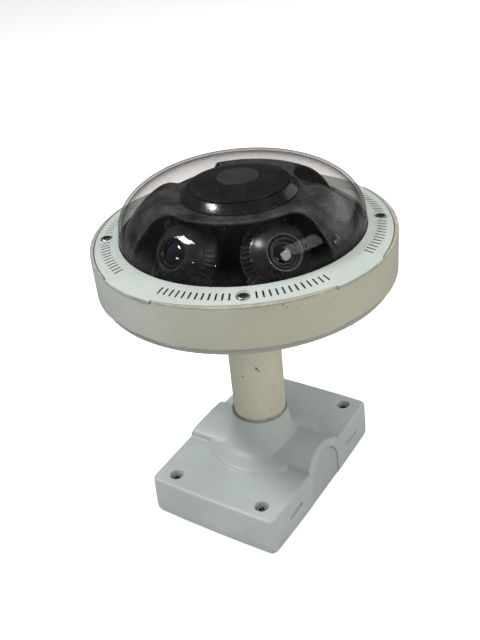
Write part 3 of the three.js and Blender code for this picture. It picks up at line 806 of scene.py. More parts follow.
def pale_floor():
    """A pale sheet: bright to the eye, dimmer where it lights the part, dark where it mirrors."""
    floor = new_object("floor", lofted([([(-9000, -9000), (9000, -9000), (9000, 9000),
                                          (-9000, 9000)], z) for z in (-20, -0.05)]))
    r, shader, material = new_finish("floor_pale")
    soft = r.noise(r.place(), 3.0, 2.0)
    r.feed(shader.inputs["Base Color"], r.mix(soft, (0.90, 0.90, 0.90, 1), (0.92, 0.92, 0.92, 1)))
    shader.inputs["Roughness"].default_value = 0.9
    shader.inputs["Specular IOR Level"].default_value = 0.1
    glow = r.node("ShaderNodeEmission")
    glow.inputs["Strength"].default_value = 0.5
    lit = r.node("ShaderNodeAddShader")
    seen = r.node("ShaderNodeLightPath")
    chosen = r.node("ShaderNodeMixShader")
    dim = r.node("ShaderNodeBsdfDiffuse")
    dim.inputs["Color"].default_value = (0.22, 0.22, 0.22, 1)
    links = material.node_tree.links
    links.new(shader.outputs[0], lit.inputs[0])
    links.new(glow.outputs[0], lit.inputs[1])
    bounced = r.times(r.math("SUBTRACT", 1.0, seen.outputs["Is Glossy Ray"]), 0.45)
    links.new(r.math("MAXIMUM", seen.outputs["Is Camera Ray"], bounced), chosen.inputs[0])
    links.new(dim.outputs[0], chosen.inputs[1])
    links.new(lit.outputs[0], chosen.inputs[2])
    links.new(chosen.outputs[0], material.node_tree.nodes["Material Output"].inputs["Surface"])
    floor.data.materials.append(material)


FAR_LAMPS = ((-117.5, 16.5), (-103, 13), (-97, 10), (-90, 18), (-81.5, 8), (-68, 19), (-55, 28),
             (-51, 18), (-40.5, 21), (-35, 3), (-20, 24.6))


def studio():
    """A dim room with a bright ceiling, a window and a long row of far lamps."""
    world = bpy.data.worlds.new("studio")
    scene.world = world
    world.use_nodes = True
    r = Recipe(world.node_tree)
    split = r.node("ShaderNodeSeparateXYZ")
    r.feed(split.inputs[0], r.node("ShaderNodeTexCoord").outputs["Generated"])
    rise = r.spread(split.outputs["Z"], 0.05, 0.95)
    backdrop = world.node_tree.nodes["Background"]
    r.feed(backdrop.inputs["Color"], r.mix(rise, (0.16, 0.165, 0.17, 1), (0.48, 0.49, 0.50, 1)))
    path = r.node("ShaderNodeLightPath")
    r.feed(backdrop.inputs["Strength"], r.spread(path.outputs["Is Glossy Ray"], 0.0, 1.0, 0.75, 0.2))
    scene.view_settings.view_transform = "Standard"
    area_light("window", -140, 55, 1.6, 0.42, 0.18, 17, (1.0, 1.0, 1.0))
    area_light("ceiling", 60, 78, 2.0, 1.5, 1.5, 18, (1.0, 0.99, 0.97), mirrored=False)
    area_light("right_wall", 0, 24, 2.2, 1.2, 1.2, 15, (1.0, 0.98, 0.94))
    area_light("front_fill", -85, 22, 2.4, 1.6, 0.7, 6, (0.96, 0.98, 1.0), mirrored=False)
    area_light("rear_window", 68, 20, 2.2, 1.5, 1.0, 7, (0.92, 0.96, 1.0))
    for n, (bearing, elevation) in enumerate(FAR_LAMPS):
        area_light(f"far_lamp_{n}", bearing, elevation, 6.0, 0.16, 0.10, 2.0, (1.0, 0.98, 0.94))


look_from(35.19, 31.55, -6.06, Vector((0.35651, -0.52326, 0.56202)), 47.715)
pale_floor()
studio()


# -------------------------------------------------------------------- base

def base_outline(inset, steps=14):
    """The base seen from above, drawn in by inset: bowed sides and round corners."""
    hx = BASE_HALF_X - inset
    hy = BASE_HALF_Y - inset
    corner = max(BASE_CORNER - inset, 1.0)

    def side(half, other, bow):
        run = half - corner
        return [(-run + 2 * run * k / steps,
                 other + bow * (1 - ((-run + 2 * run * k / steps) / half) ** 2))
                for k in range(steps + 1)]

    long_side = side(hy, hx, BOW_X)
    short_side = side(hx, hy, BOW_Y)

    def bend(sx, sy, start):
        turn = [math.radians(start + 90 * k / 8) for k in range(1, 8)]
        return [(sx * (hx - corner) + corner * math.cos(t), sy * (hy - corner) + corner * math.sin(t))
                for t in turn]

    outline = [(x, y) for y, x in long_side] + bend(1, 1, 0)
    outline += [(-x, y) for x, y in short_side] + bend(-1, 1, 90)
    outline += [(-x, -y) for y, x in long_side] + bend(-1, -1, 180)
    outline += [(x, -y) for x, y in short_side] + bend(1, -1, 270)
    return outline


def bridge_ends(inset=0.0):
    return [(base_outline(step + inset), z) for step, z in BRIDGE_ENDS]


def base_block(inset=0.0, bridged=False):
    """The box, drafted, with rounded top and bottom edges; bridged runs it up past the bridge."""
    layers = []
    for k in range(5):
        t = math.radians(90 * k / 4)
        layers.append((base_outline(inset + 0.3 + 3.2 * (1 - math.sin(t))), 3.2 * (1 - math.cos(t))))
    layers.append((base_outline(inset), 9))
    if bridged:
        return lofted(layers + [(base_outline(inset + 0.8), 34)] + bridge_ends(inset)[2:])
    for k in range(7):
        t = math.radians(90 * k / 6)
        drawn_in = inset + 0.9 + TOP_EDGE * (1 - math.cos(t))
        layers.append((base_outline(drawn_in), BASE_HEIGHT - TOP_EDGE * (1 - math.sin(t))))
    return lofted(layers)


def arch(radius, low, high, bottom=-1.0):
    outline = [(radius, bottom)] + [
        (radius * math.cos(math.radians(a)), ARCH_CENTRE + radius * math.sin(math.radians(a)))
        for a in range(0, 181, 4)] + [(-radius, bottom)]
    return laid_along_x(lofted([(outline, low), (outline, high)]))


def at_four_screws(make):
    return [make(sx * SCREW_X, sy * SCREW_Y) for sx in (1, -1) for sy in (1, -1)]


def crowned_bridge():
    """The raised band that crosses the base from arch to arch, cut to the base's outline."""
    half = BRIDGE_HALF + 1.2
    crown = [(s * BRIDGE_HALF / 8, BRIDGE_TOP - (BRIDGE_TOP - BRIDGE_EDGE) * (s / 8) ** 2)
             for s in range(8, -9, -1)]
    section = [(-half, 30), (half, 30), (half, BRIDGE_EDGE - 1.6)] + crown + [(-half, BRIDGE_EDGE - 1.6)]
    bridge = new_object("bridge", laid_along_x(lofted([(section, -70), (section, 70)])))
    carve(bridge, lofted(bridge_ends()), "INTERSECT")
    return bridge


def base_housing():
    housing = new_object("base_housing_shell", base_block())
    bridge = crowned_bridge()
    collar = turned(softened([
        (0, 34), (51, 34), (51, 41.2, 1.6), (49, 42.1, 2), (40, 42.8, 5), (33.5, 45.5, 7), (29.6, 52, 8),
        (27.4, 63, 8), (26.6, 70), (26.4, COLLAR_TOP, 0.6), (0, COLLAR_TOP)], 1.0, 5), 160)
    carve(housing, collar, "UNION")
    step = housing.modifiers.new("add_bridge", "BOOLEAN")
    step.operation = "UNION"
    step.object = bridge
    step.solver = "MANIFOLD"
    settle(housing)
    bpy.data.objects.remove(bridge)
    knit = housing.modifiers.new("knit", "REMESH")
    knit.mode = "VOXEL"
    knit.voxel_size = 0.85 * MM
    melt = housing.modifiers.new("melt", "SMOOTH")
    melt.factor = 0.5
    melt.iterations = 4
    settle(housing)
    carve(housing, together(*base_hollows()))
    return finish_piece(housing, base_paint, "stand", ["base_housing"], 38)


def base_hollows():
    """Everything that is cut out of the base: its room, arches, bore, screw seats and slots."""
    ceiling = BASE_HEIGHT - BASE_WALL
    room = new_object("room", lofted([(base_outline(BASE_WALL + 0.6), -1),
                                      (base_outline(BASE_WALL + 0.6), ceiling)]))
    bosses = at_four_screws(lambda x, y: rod(8.5, 3.3, ceiling + 1, x, y))
    carve(room, together(*bosses, rod(31, 22, ceiling + 1, sides=80)))
    carve(room, together(arch(ARCH_RADIUS + 0.4, 46, 72), arch(ARCH_RADIUS + 0.4, -72, -46)), "UNION")
    carve(room, rod(PIPE_RADIUS + 0.45, 10, 90, sides=120), "UNION")
    seat = softened([(0, 30.5), (6, 30.5, 0.5), (6, 38.3, 0.8), (7.3, 39.2), (7.3, 60), (0, 60)], 0.4)
    seats = at_four_screws(lambda x, y: placed(turned(seat, 48), Matrix.Translation((x, y, 0))))
    carve(room, together(*seats), "UNION")
    carve(room, together(*at_four_screws(lambda x, y: rod(3.4, -1, 40, x, y, 24))), "UNION")
    slots = [block(SIDE_SLOT, (sx * (BASE_HALF_X + 0.8), sy * SIDE_SLOT_Y, SIDE_SLOT_Z), 0.5)
             for sx in (1, -1) for sy in (1, -1)]
    mesh = room.data
    cut = ([v.co / MM for v in mesh.vertices], [tuple(p.vertices) for p in mesh.polygons])
    bpy.data.objects.remove(room)
    return [cut, *slots]


def conduit_cover(name, side):
    """The arched plug in one long side, shaped to the wall it closes, with its inner flange."""
    cover = new_object(name, arch(ARCH_RADIUS - 0.3, 59, 70, 0.3))
    carve(cover, base_block(0.6, bridged=True), "INTERSECT")
    ease_edges(cover, 0.5)
    carve(cover, block(FLANGE, (59.8, 0, 17.5), 0.4), "UNION")
    if side < 0:
        cover.data.transform(Matrix.Rotation(math.pi, 4, "Z"))
    return finish_piece(cover, cover_paint, "stand", [name.replace("_plug", "")], 38)


def star(radius, lobes=6, depth=0.2, steps=48):
    return [tuple(polar(radius * (1 - depth * (0.5 - 0.5 * math.cos(lobes * math.radians(a)))), a)[:2])
            for a in (360 * k / steps for k in range(steps))]


def star_screw(name, x, y, head, bottom, top, shank, foot, body, node, turn):
    """Pan head with a six-lobed recess and a centre pin, on a threaded shank."""
    pitch = shank * 0.4
    threads = []
    z = foot + 0.6
    while z + pitch < bottom - 1.5:
        threads += [(shank * 0.84, z), (shank, z + pitch / 2)]
        z += pitch
    profile = [(0, foot), (shank * 0.6, foot)] + threads + [(shank, z + pitch), (shank, bottom)]
    profile += softened([(head, bottom), (head, top - 0.7, 0.6), (head * 0.84, top - 0.05, 0.6),
                         (0, top)], 0.3, 3)[0:-1] + [(0, top)]
    screw = new_object(name, turned(profile, 48))
    carve(screw, slab(star(head * 0.62), top - 1.7, top + 1))
    carve(screw, rod(head * 0.13, top - 2.2, top - 0.7, sides=16), "UNION")
    screw.data.transform(Matrix.Translation((x * MM, y * MM, 0)) @ Matrix.Rotation(turn, 4, "Z"))
    finish_piece(screw, [steel, recess_shade_and_dirt], body, [node], 40)
    # The recess faces take the near-black second finish: painted shade in the recess, with dirt.
    recess = head * 0.64
    mark_faces(screw, lambda p: top - 2 < p.z < top - 0.2 and math.hypot(p.x - x, p.y - y) < recess)


def mounting_plate():
    outline = base_outline(BASE_WALL + 4.2)
    plate = new_object("wall_plate", slab(outline, 0, 3, 0.4))
    holes = at_four_screws(lambda x, y: rod(3.4, -1, 4, x, y, 32))
    ends = softened([(-7, -3), (7, -3), (7, 3), (-7, 3)], 2.9, 5)
    slots = [placed(slab(ends, -1, 4), Matrix.Translation((sx * 36, sy * 48, 0)))
             for sx in (1, -1) for sy in (1, -1)]
    carve(plate, together(rod(22, -1, 4, sides=80), *holes, *slots))
    return finish_piece(plate, zinc, "stand", ["mounting_plate"], 35)


def pipe_nut():
    flats = [tuple(polar(33, 60 * k)[:2]) for k in range(6)]
    nut = new_object("pipe_lock_nut", slab(flats, 12, 21.6))
    chamfer = turned([(0, 11.9), (30.2, 11.9), (33.4, 13.6), (33.4, 20), (30.2, 21.7), (0, 21.7)], 90)
    carve(nut, chamfer, "INTERSECT")
    carve(nut, rod(PIPE_RADIUS + 0.5, 10, 24, sides=90))
    return finish_piece(nut, zinc, "stand", ["pipe_nut"], 30)


base_housing()
conduit_cover("conduit_cover_right_plug", 1)
conduit_cover("conduit_cover_left_plug", -1)
random.seed(11)
for n, (sx, sy) in enumerate(((1, 1), (1, -1), (-1, 1), (-1, -1)), 1):
    star_screw(f"base_screw_{n}_star", sx * SCREW_X, sy * SCREW_Y, 5.2, 30.8, 34.4, 2.9, 0.6,
               "stand", f"base_screw_{n}", random.uniform(0, 1))
mounting_plate()
pipe_nut()


# --------------------------------------------------------------- turned work

def turned_piece(name, corners, finish, body, node, radius=0.4, steps=192, sharp=32):
    piece = new_object(name, turned(softened(corners, radius), steps))
    return finish_piece(piece, finish, body, [node], sharp)


turned_piece("pipe_tube", [
    (PIPE_BORE, 8), (PIPE_RADIUS, 8, 0.8), (PIPE_RADIUS, PIPE_TOP, 0.8), (PIPE_BORE, PIPE_TOP),
], pipe_paint, "stand", "pipe", 0.3, 128)

turned_piece("pendant_flange_plate", [
    (PIPE_RADIUS + 0.5, 199), (29.9, 199, 1.2), (30.8, 203, 1), (31.4, 212, 3), (34.5, 217, 1.5),
    (60, 217), (61, 217.7), (104, 217.7), (105, 217), (119, 217, 2), (PLATE_RADIUS, 219.4, 2.4),
    (PLATE_RADIUS, PLATE_TOP, 0.5), (19.5, PLATE_TOP), (19.5, 213.6), (PIPE_RADIUS + 0.5, 213.6),
], plate_paint, "stand", "pendant_plate", 0.5)

turned_piece("seam_seal", [(115, 223.2), (122.4, 223.2), (122.4, 223.9), (115, 223.9)],
             rubber_black, "stand", "seam_gasket", 0.25)

turned_piece("dome_seal", [(100.4, 255.9), (106, 255.9), (106, 257.9), (100.4, 257.9)],
             rubber_black, "cover", "dome_gasket", 0.8)


def from_screw(azimuth):
    return min(abs((azimuth - s + 540) % 360 - 180) for s in COVER_SCREWS)


def bend_squared(azimuth):
    return (from_screw(azimuth) / SECTOR) ** 2


def sector_edge(azimuth):
    """Outer edge of the ring where the skirt's rim stands round it."""
    return 122.2 + 2.3 * bend_squared(azimuth)


def ring_top(radius):
    return 260.1 + (126 - radius) / 6


def drum_azimuths(clear):
    """Even steps, with a close set where the rim starts and stops."""
    end = SECTOR + clear
    ramp = (-0.3, -0.18, -0.06, 0.06, 0.18, 0.3)
    offsets = [-45 + 1.5 * k for k in range(60)]
    offsets = [o for o in offsets if abs(abs(o) - end) > 0.7]
    offsets += [sign * end + e for sign in (1, -1) for e in ramp]
    return sorted(s + o for s in COVER_SCREWS for o in offsets)


def sector_share(azimuth, clear, ramp=0.6):
    """1 inside a screw's sector and 0 outside, with a ramp that many degrees long."""
    share = (SECTOR + clear - from_screw(azimuth)) / ramp + 0.5
    share = min(max(share, 0.0), 1.0)
    return share * share * (3 - 2 * share)


def blend_number(share, inside, outside):
    return outside + (inside - outside) * share


def skirt_profile(azimuth):
    share = sector_share(azimuth, 0)
    slow = sector_share(azimuth, 0, 9.0)
    wall = blend_number(slow, SKIRT_RADIUS + 0.5 * bend_squared(azimuth), SKIRT_RADIUS - 0.8)
    rim = blend_number(share, sector_edge(azimuth) + 0.7, SKIRT_RADIUS - 1.6)
    top = blend_number(share, SKIRT_RIM_TOP, SKIRT_TAB_TOP)
    inside = blend_number(share, SKIRT_TAB_TOP, SKIRT_TAB_TOP - 0.6)
    return softened([
        (112, SKIRT_BOTTOM), (wall, SKIRT_BOTTOM, 1.6), (wall, top, 0.7), (rim, top, 0.4),
        (rim, inside, 0.3), (SKIRT_INNER, inside - 0.1, 0.3), (SKIRT_INNER, 226.8, 1.0), (112, 226.8),
    ], 0.4, 3)


def ring_profile(azimuth):
    share = sector_share(azimuth, RING_CLEAR)
    edge = blend_number(share, sector_edge(azimuth), RING_TAB)
    return softened([
        (edge, RING_BOTTOM, 0.3), (edge, ring_top(edge), 0.8), (RING_INNER, ring_top(RING_INNER), 0.9),
        (RING_INNER, 260.6, 0.3), (106.8, 260.3, 0.2), (120.4, RING_BOTTOM, 0.3),
    ], 0.4, 3)


def slot_tool(azimuth):
    """One narrow slot with round ends and an eased mouth, square to the ring's slope."""
    middle = (SLOT_INNER + SLOT_OUTER) / 2
    half = (SLOT_OUTER - SLOT_INNER) / 2

    def oval(grow):
        reach = half + grow
        width = 0.65 + grow
        return softened([(-reach, -width), (reach, -width), (reach, width), (-reach, width)], width, 4)

    mouth = ring_top(middle)
    layers = [(oval(0), mouth - 1.75), (oval(0), mouth - 0.22), (oval(0.22), mouth + 0.02),
              (oval(0.5), mouth + 2)]
    tilt = Matrix.Translation((0, 0, mouth)) @ Matrix.Rotation(math.atan(1 / 6), 4, "Y")
    tilt = tilt @ Matrix.Translation((0, 0, -mouth))
    turn = Matrix.Rotation(math.radians(azimuth), 4, "Z") @ Matrix.Translation((middle, 0, 0))
    return placed(lofted(layers), turn @ tilt)


def cover_ring():
    ring = new_object("vented_ring", turned(ring_profile, drum_azimuths(RING_CLEAR)))
    tools = []
    for screw_azimuth in COVER_SCREWS:
        for k in range(SLOTS_PER_SIDE):
            for side in (1, -1):
                tools.append(slot_tool(screw_azimuth + side * (SLOT_FIRST + k * SLOT_PITCH)))
    carve(ring, together(*tools))
    seat = softened([(0, 260.5), (5.3, 260.5), (5.3, 262.0, 0.5), (5.9, 262.5), (5.9, 270),
                     (0, 270)], 0.2)
    centres = [polar(RING_SCREW_RADIUS, a) for a in COVER_SCREWS]
    carve(ring, together(*[placed(turned(seat, 48), Matrix.Translation(c)) for c in centres]))
    carve(ring, together(*[rod(2.7, 250, 270, c.x, c.y, 24) for c in centres]))
    finish_piece(ring, [ring_paint, recess_shade_and_dirt], "cover", ["cover_ring"], 30)
    # The faces inside the vent slots take the near-black second finish: painted shade in the slots, with
    # dirt.
    mark_faces(ring, in_a_slot)


def in_a_slot(point):
    radius = math.hypot(point.x, point.y)
    azimuth = math.degrees(math.atan2(point.y, point.x))
    depth = ring_top(radius) - point.z
    return 108 < radius < 118 and 0.3 < depth < 2.0 and from_screw(azimuth) > 3.8


skirt = new_object("drum_skirt_shell", turned(skirt_profile, drum_azimuths(0)))
finish_piece(skirt, drum_paint, "stand", ["drum_skirt"], 30)
cover_ring()
for n, azimuth in enumerate(COVER_SCREWS, 1):
    spot = polar(RING_SCREW_RADIUS, azimuth)
    star_screw(f"cover_screw_{n}_star", spot.x, spot.y, 4.8, 260.6, 262.7, 2.2, 249,
               "cover", f"cover_screw_{n}", random.uniform(0, 1))


def dome_arc(radius, height, steps):
    arc = []
    for i in range(steps):
        t = (i / steps) ** 0.85 * math.pi / 2
        arc.append((radius * math.cos(t) ** DOME_POW_R, DOME_FOOT + height * math.sin(t) ** DOME_POW_Z))
    return arc


def dome():
    inner = dome_arc(DOME_RADIUS - DOME_WALL, DOME_HEIGHT - DOME_WALL, 40)
    outer = dome_arc(DOME_RADIUS, DOME_HEIGHT, 40)
    foot = softened([(DOME_RADIUS - DOME_WALL, 262), (DOME_RADIUS - DOME_WALL, 258.2), (105.8, 258.2),
                     (105.8, 259.9), (DOME_RADIUS, 260.1, 0.5), (DOME_RADIUS, 262)], 0.2, 2)
    profile = [(0, DOME_FOOT + DOME_HEIGHT - DOME_WALL)] + inner[::-1] + foot[3:-3] + outer
    profile += [(0, DOME_FOOT + DOME_HEIGHT)]
    piece = new_object("clear_dome", turned(profile, 192))
    return finish_piece(piece, dome_clear, "cover", ["dome"], 50)


dome()


# ------------------------------------------------------------ inside the drum

def chassis():
    bowl = new_object("chassis_bowl", turned(softened([
        (9.8, 224.2), (110.6, 224.2), (110.6, 227.1), (119.4, 227.1), (119.4, 229.4), (108.2, 229.4),
        (108.2, 250), (118, 252.4), (118, 255.6), (101.6, 255.6), (101.6, 253.4), (104.6, 251),
        (104.6, 226.8), (9.8, 226.8)], 0.6), 160))
    centres = [polar(RING_SCREW_RADIUS, a) for a in COVER_SCREWS]
    carve(bowl, together(*[rod(2.7, 240, 260, c.x, c.y, 24) for c in centres]))
    return finish_piece(bowl, cast_alloy, "stand", ["chassis"], 32)


chassis()
turned_piece("curved_track", [
    (53, 227.1), (82.4, 227.1), (82.4, 230.2), (80.6, 230.2), (80.6, 228.3), (54.8, 228.3),
    (54.8, 230.2), (53, 230.2)], track_steel, "stand", "track_ring", 0.3)
turned_piece("hub_pillar", [
    (30, 227.1), (33.5, 227.1), (33.5, 286, 1), (37.4, 289, 1), (37.4, 292.6), (30, 292.6),
], satin_black, "stand", "hub_post", 0.5, 96)
turned_piece("cable_seal", [
    (5, 219), (9.4, 219), (9.4, 221), (8.6, 221.6), (8.6, 223), (9.4, 223.6), (9.4, 227.1), (13, 227.1),
    (13, 229.4), (9.6, 230), (9, 231), (8.4, 231.4), (8, 233.4), (5, 233.4),
], rubber_black, "stand", "cable_gland", 0.3, 64)

CAP_MIDDLE = 17.3
CAP_DISC_FOOT = 306
hub_cap = new_object("hub_cap_shell", turned(softened([
    (0, 303.8), (16, 303.8), (38, 299.4), (44, 294.5), (47.8, 294.5, 0.5), (48.2, 295.4, 0.6),
    (41.9, 301.3, 0.4), (41.3, 301.3), (41.3, 300.2), (39.7, 300.2), (39.7, 302.3, 0.3),
    (29, 305.1, 6), (18.7, 306.7, 0.3), (18.7, 305.2), (17.1, 305.2), (17.1, 307.2, 0.3), (9, 307.5, 3),
    (0, 307.5)], 0.25, 3), 192))
finish_piece(hub_cap, [gloss_black, disc_grey], "stand", ["hub_cap"], 30)
mark_faces(hub_cap, lambda p: math.hypot(p.x, p.y) < CAP_MIDDLE and p.z > CAP_DISC_FOOT)


def opening(start, end, inner):
    """A window through the shroud, from its foot to its shoulder, with broad round corners."""
    steps = 72
    azimuths = [start + (end - start) * k / steps for k in range(steps + 1)]

    def inner_edge(azimuth):
        from_end = math.radians(min(azimuth - start, end - azimuth)) * inner
        short = max(OPENING_CORNER - from_end, 0.0)
        return inner + OPENING_CORNER - math.sqrt(OPENING_CORNER ** 2 - short ** 2)

    outline = [tuple(polar(112, a)[:2]) for a in azimuths]
    outline += [tuple(polar(inner_edge(a), a)[:2]) for a in reversed(azimuths)]
    return slab(outline, 259, 300)


def shroud():
    shell = new_object("shroud_liner", turned(softened([
        (98.6, 255.8), (98.6, 261, 3), (96.2, 268.6, 5), (89.8, 277.8, 6), (80.2, 287.4, 7), (70, 294, 6),
        (62, 296.9, 3), (52, 294.2, 2), (38, 294.2), (38, 293), (52.2, 293, 2), (62, 295.5, 3),
        (69.4, 292.8, 6), (79.2, 286.4, 7), (88.6, 277, 6), (94.8, 268, 5), (97.1, 260.7, 3),
        (97.1, 255.8)], 0.4, 5), 240))
    carve(shell, together(*[opening(*window) for window in SHROUD_OPENINGS]))
    return finish_piece(shell, shroud_black, "stand", ["shroud"], 34)


def light_sensor():
    """A small tinted window on the shroud's right-hand panel."""
    bead = turned(softened([(0, 0.4), (4.2, 0.4), (4.2, 1.3, 0.4), (3.1, 1.7, 0.3), (2.9, 1.5),
                            (1.8, 2.3, 1), (0, 2.6)], 0.2), 48)
    low, high = Vector((96.2, 268.6)), Vector((89.8, 277.8))
    middle = (low + high) / 2
    lean = math.atan2(high.y - low.y, low.x - high.x)
    place = Matrix.Rotation(math.radians(-8), 4, "Z") @ Matrix.Translation((middle.x, 0, middle.y))
    window = new_object("light_sensor_window", placed(bead, place @ Matrix.Rotation(lean, 4, "Y")))
    return finish_piece(window, sensor_glass, "stand", ["light_sensor"], 40)


shroud()
light_sensor()


# -------------------------------------------------------------- electronics

def populated_board(name, outline, low, high, parts, body, node, matrix=Matrix()):
    """A board with chips and small parts. parts hold (x, y, length, width, height)."""
    bare = slab(outline, low, high)
    chips = [block((a, b, h), (x, y, high + h / 2), 0.15) for x, y, a, b, h in parts]
    shape = together(bare, *chips)
    piece = new_object(name, placed(shape, matrix))
    edge = high + 0.01
    inverse = matrix.inverted()
    finish_piece(piece, [board_green, chip_black], body, [node], 30)
    mark_faces(piece, lambda p: (inverse @ p).z > edge)
    return piece


def round_outline(radius, sides=72):
    return [tuple(polar(radius, 360 * k / sides)[:2]) for k in range(sides)]


MAIN_PARTS = [(-4, 2, 12, 12, 1.4), (12, -8, 7, 5, 1.1), (10, 12, 6, 6, 1.0), (-16, 14, 4, 3, 1.6),
              (-14, -14, 8, 4, 1.2), (2, -18, 3, 2, 0.8), (8, -18, 3, 2, 0.8), (20, 3, 2, 4, 0.9)]
populated_board("main_circuit", round_outline(29.2), 246, 247.6, MAIN_PARTS, "stand", "main_board")

PANEL = Matrix.Rotation(math.radians(-67.5), 4, "Z") @ Matrix.Translation((95, 0, 0))
populated_board("side_circuit", [(-6, -17), (6, -17), (6, 17), (-6, 17)], 227.1, 228.7,
                [(0, -14, 3, 2, 0.6)], "stand", "io_board", PANEL)


def card_slot():
    """A pressed shell with its card mouth towards the drum's wall."""
    shell = new_object("card_socket", block((9, 14, 2.2), (0, 8, 230.1), 0.3))
    carve(shell, block((8, 11, 1.0), (2, 8, 230.0), 0.1))
    shell.data.transform(Matrix.Scale(MM, 4) @ PANEL @ Matrix.Scale(1 / MM, 4))
    return finish_piece(shell, track_steel, "stand", ["memory_card_slot"], 35)


def cable_jack():
    """A screened socket that opens upwards, with eight spring contacts."""
    shell = new_object("cable_socket", block((13, 16, 14), (-20.5, 0, 234.1), 0.4))
    carve(shell, block((10.4, 12, 11), (-20.5, 0, 237), 0.2))
    contacts = [block((7, 0.5, 0.4), (-21.0, -3.5 + k, 238.4), 0.1) for k in range(8)]
    finish_piece(shell, track_steel, "stand", ["network_jack"], 35)
    springs = new_object("cable_socket_contacts", together(*contacts))
    finish_piece(springs, contact_gold, "stand", (), 35)


card_slot()
cable_jack()
button = new_object("control_button_cap", placed(turned(softened([
    (0, 229.6), (2.2, 229.6), (2.2, 233.4, 0.5), (1.4, 233.4, 0.3), (1.0, 233.15, 0.3), (0, 233.15),
], 0.2), 40), PANEL @ Matrix.Translation((0, -9, 0))))
finish_piece(button, satin_black, "button", ["control_button"], 35)


# -------------------------------------------------------------------- heads

JOINTS = {joint["name"]: joint for joint in frame["joints"]}


def head_frames(n):
    """The ball's place and the way its lens looks, then the cup's place and the way it faces."""
    joint = JOINTS[f"head_{n}_rotate"]
    centre = Vector(joint["pos_m"]) / MM
    look = Vector(joint["axis"]).normalized()
    side = Vector((0, 0, 1)).cross(look).normalized()
    ball = Matrix((look.cross(side) * -1, side, look)).transposed().to_4x4()
    pan = math.atan2(look.y, look.x)
    cup = Matrix.Translation(centre) @ Matrix.Rotation(pan, 4, "Z")
    return Matrix.Translation(centre) @ ball, cup, math.atan2(centre.y, centre.x)


def sphere_arc(radius, degrees):
    return [(radius * math.sin(math.radians(d)), -radius * math.cos(math.radians(d))) for d in degrees]


def ball_shell(n, ball):
    outer = sphere_arc(BALL_RADIUS, [4 * k for k in range(20)] + [80.5])
    inner = sphere_arc(BALL_INNER, [80 - 8 * k for k in range(10)])
    lip = [(29.0, -4.2), (27.1, -4.2)]
    profile = [(0, -BALL_RADIUS)] + outer[1:] + lip + inner + [(0, -BALL_INNER)]
    piece = new_object(f"ball_shell_{n}_smooth", placed(turned(profile, 128), ball))
    return finish_piece(piece, head_black, f"ball_{n}", [f"ball_shell_{n}"], 35)


def tooth_wave(azimuth):
    """1 on a tooth and 0 in the gap beside it, with short flanks."""
    phase = azimuth * TEETH / 360 % 1.0
    away = abs(phase - 0.5) * 2
    return min(max((0.62 - away) / 0.14, 0.0), 1.0)


def grip_bezel(n, ball):
    """Toothed grip band behind a smooth domed front, open for the lens."""
    steps = TEETH * 10

    def profile(azimuth):
        dip = 1.15 * (1 - tooth_wave(azimuth))
        front = [(24.1, 5.0), (23.3, 6.1), (22.2, 7.4), (20.6, 9.1), (18.6, 10.9), (16.6, 12.5),
                 (15.3, 13.4), (14.6, 13.9), (13.6, 13.9), (13.0, 13.5), (12.5, 13.2)]
        band = [(28.6 - dip * 0.6, -3.8), (28.5 - dip, -3.2), (27.5 - dip, -0.6), (26.3 - dip, 2.0),
                (25.2 - dip * 0.9, 3.9), (24.8 - dip * 0.3, 4.4), (24.5, 4.7)]
        return band + front + [(12.5, 9), (20, 4.6), (25.4, -3.8)]

    piece = new_object(f"grip_bezel_{n}_toothed",
                       placed(turned(profile, [360 * k / steps for k in range(steps)]), ball))
    return finish_piece(piece, head_black, f"lens_{n}", [f"grip_bezel_{n}"], 28)


def lens_barrel(n, ball):
    """Stepped rings that lead down to the pupil."""
    profile = softened([
        (0, -12), (11.2, -12), (12, -2), (12, 12.7), (11.5, 13.2), (10.9, 13.2), (10.5, 12.3),
        (10.1, 12.3), (9.9, 11.6), (9.2, 11.4), (9.0, 10.4), (8.8, 8.2), (7.6, 7.9), (7.4, 6.6),
        (6.2, 6.3), (6.0, 5.0), (4.6, 4.8), (4.4, 3.2), (0, 3.0)], 0.15, 2)
    piece = new_object(f"lens_barrel_{n}_stepped", placed(turned(profile, 96), ball))
    return finish_piece(piece, gloss_black, f"lens_{n}", [f"lens_barrel_{n}"], 30)


def lens_glass_piece(n, ball):
    rim = [(8.4, 9.0), (8.4, 9.9)]
    bulge = [(8.2 * math.cos(math.radians(a)), 9.9 + 1.9 * math.sin(math.radians(a)))
             for a in range(0, 90, 9)]
    profile = [(0, 9.0)] + rim + bulge + [(0, 11.8)]
    piece = new_object(f"front_lens_{n}", placed(turned(profile, 96), ball))
    return finish_piece(piece, lens_glass, f"lens_{n}", [f"lens_glass_{n}"], 40)


def sensor_board(n, ball):
    outline = [(-10, -10), (10, -10), (10, 10), (-10, 10)]
    return populated_board(f"sensor_circuit_{n}", outline, -14.0, -12.4, [], f"lens_{n}",
                           f"sensor_board_{n}", ball)


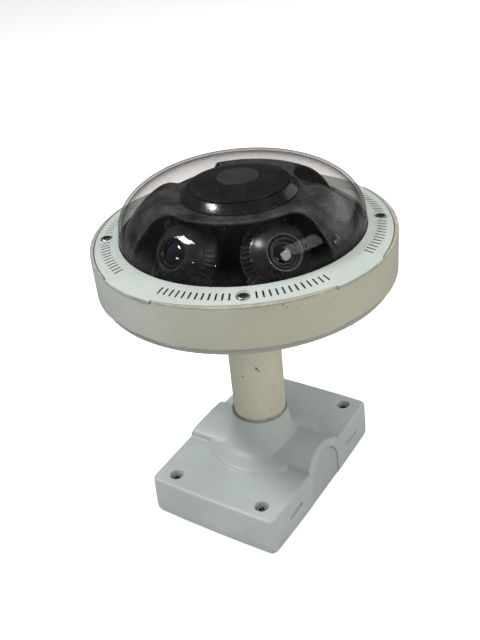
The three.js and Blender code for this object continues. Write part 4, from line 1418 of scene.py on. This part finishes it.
def head_cup(n, cup):
    """The seat the ball turns in, on its stem, with the sprung finger up its back."""
    outer = sphere_arc(CUP_OUTER, range(24, 56, 4))
    inner = sphere_arc(CUP_INNER, range(54, 0, -6))
    stem = [(0, -36.2), (5, -36.2), (5, -32), (13, -32)]
    bowl = stem + outer + [(25.7, -18.0)] + inner + [(0, -CUP_INNER)]
    strip = []
    faces = []
    steps = 22
    for k in range(steps + 1):
        rise = math.radians(-40 + 72 * k / steps)
        for radius in (CUP_INNER, CUP_OUTER):
            for across in (6.2, -6.2):
                strip.append(Vector((-radius * math.cos(rise), across, radius * math.sin(rise))))
    for k in range(steps):
        a, b = 4 * k, 4 * k + 4
        faces += [(a, a + 1, b + 1, b), (a + 2, b + 2, b + 3, a + 3), (a, b, b + 2, a + 2),
                  (a + 1, a + 3, b + 3, b + 1)]
    end = 4 * steps
    faces += [(0, 2, 3, 1), (end, end + 1, end + 3, end + 2)]
    piece = new_object(f"head_cup_{n}_sprung", placed(turned(bowl, 96), cup))
    carve(piece, placed((strip, faces), cup), "UNION")
    return finish_piece(piece, satin_black, f"cup_{n}", [f"head_cup_{n}"], 35)


def carriage(n, azimuth):
    """The shoe that slides in the track, with the bore its cup's stem turns in."""
    bends = [-15 + 30 * k / 10 for k in range(11)]
    outline = [tuple(polar(80.1, a)[:2]) for a in bends]
    outline += [tuple(polar(55.3, a)[:2]) for a in bends[::-1]]
    shoe = new_object(f"carriage_{n}_shoe", slab(softened(outline, 1.5, 2), 228.6, 232.8, 0.5))
    carve(shoe, rod(5.4, 220, 240, TRACK_RADIUS, 0, 48))
    shoe.data.transform(Matrix.Rotation(azimuth, 4, "Z"))
    return finish_piece(shoe, satin_black, f"carriage_{n}", [f"carriage_{n}"], 35)


for n in range(1, 5):
    ball, cup, azimuth = head_frames(n)
    ball_shell(n, ball)
    grip_bezel(n, ball)
    lens_barrel(n, ball)
    lens_glass_piece(n, ball)
    sensor_board(n, ball)
    head_cup(n, cup)
    carriage(n, azimuth)
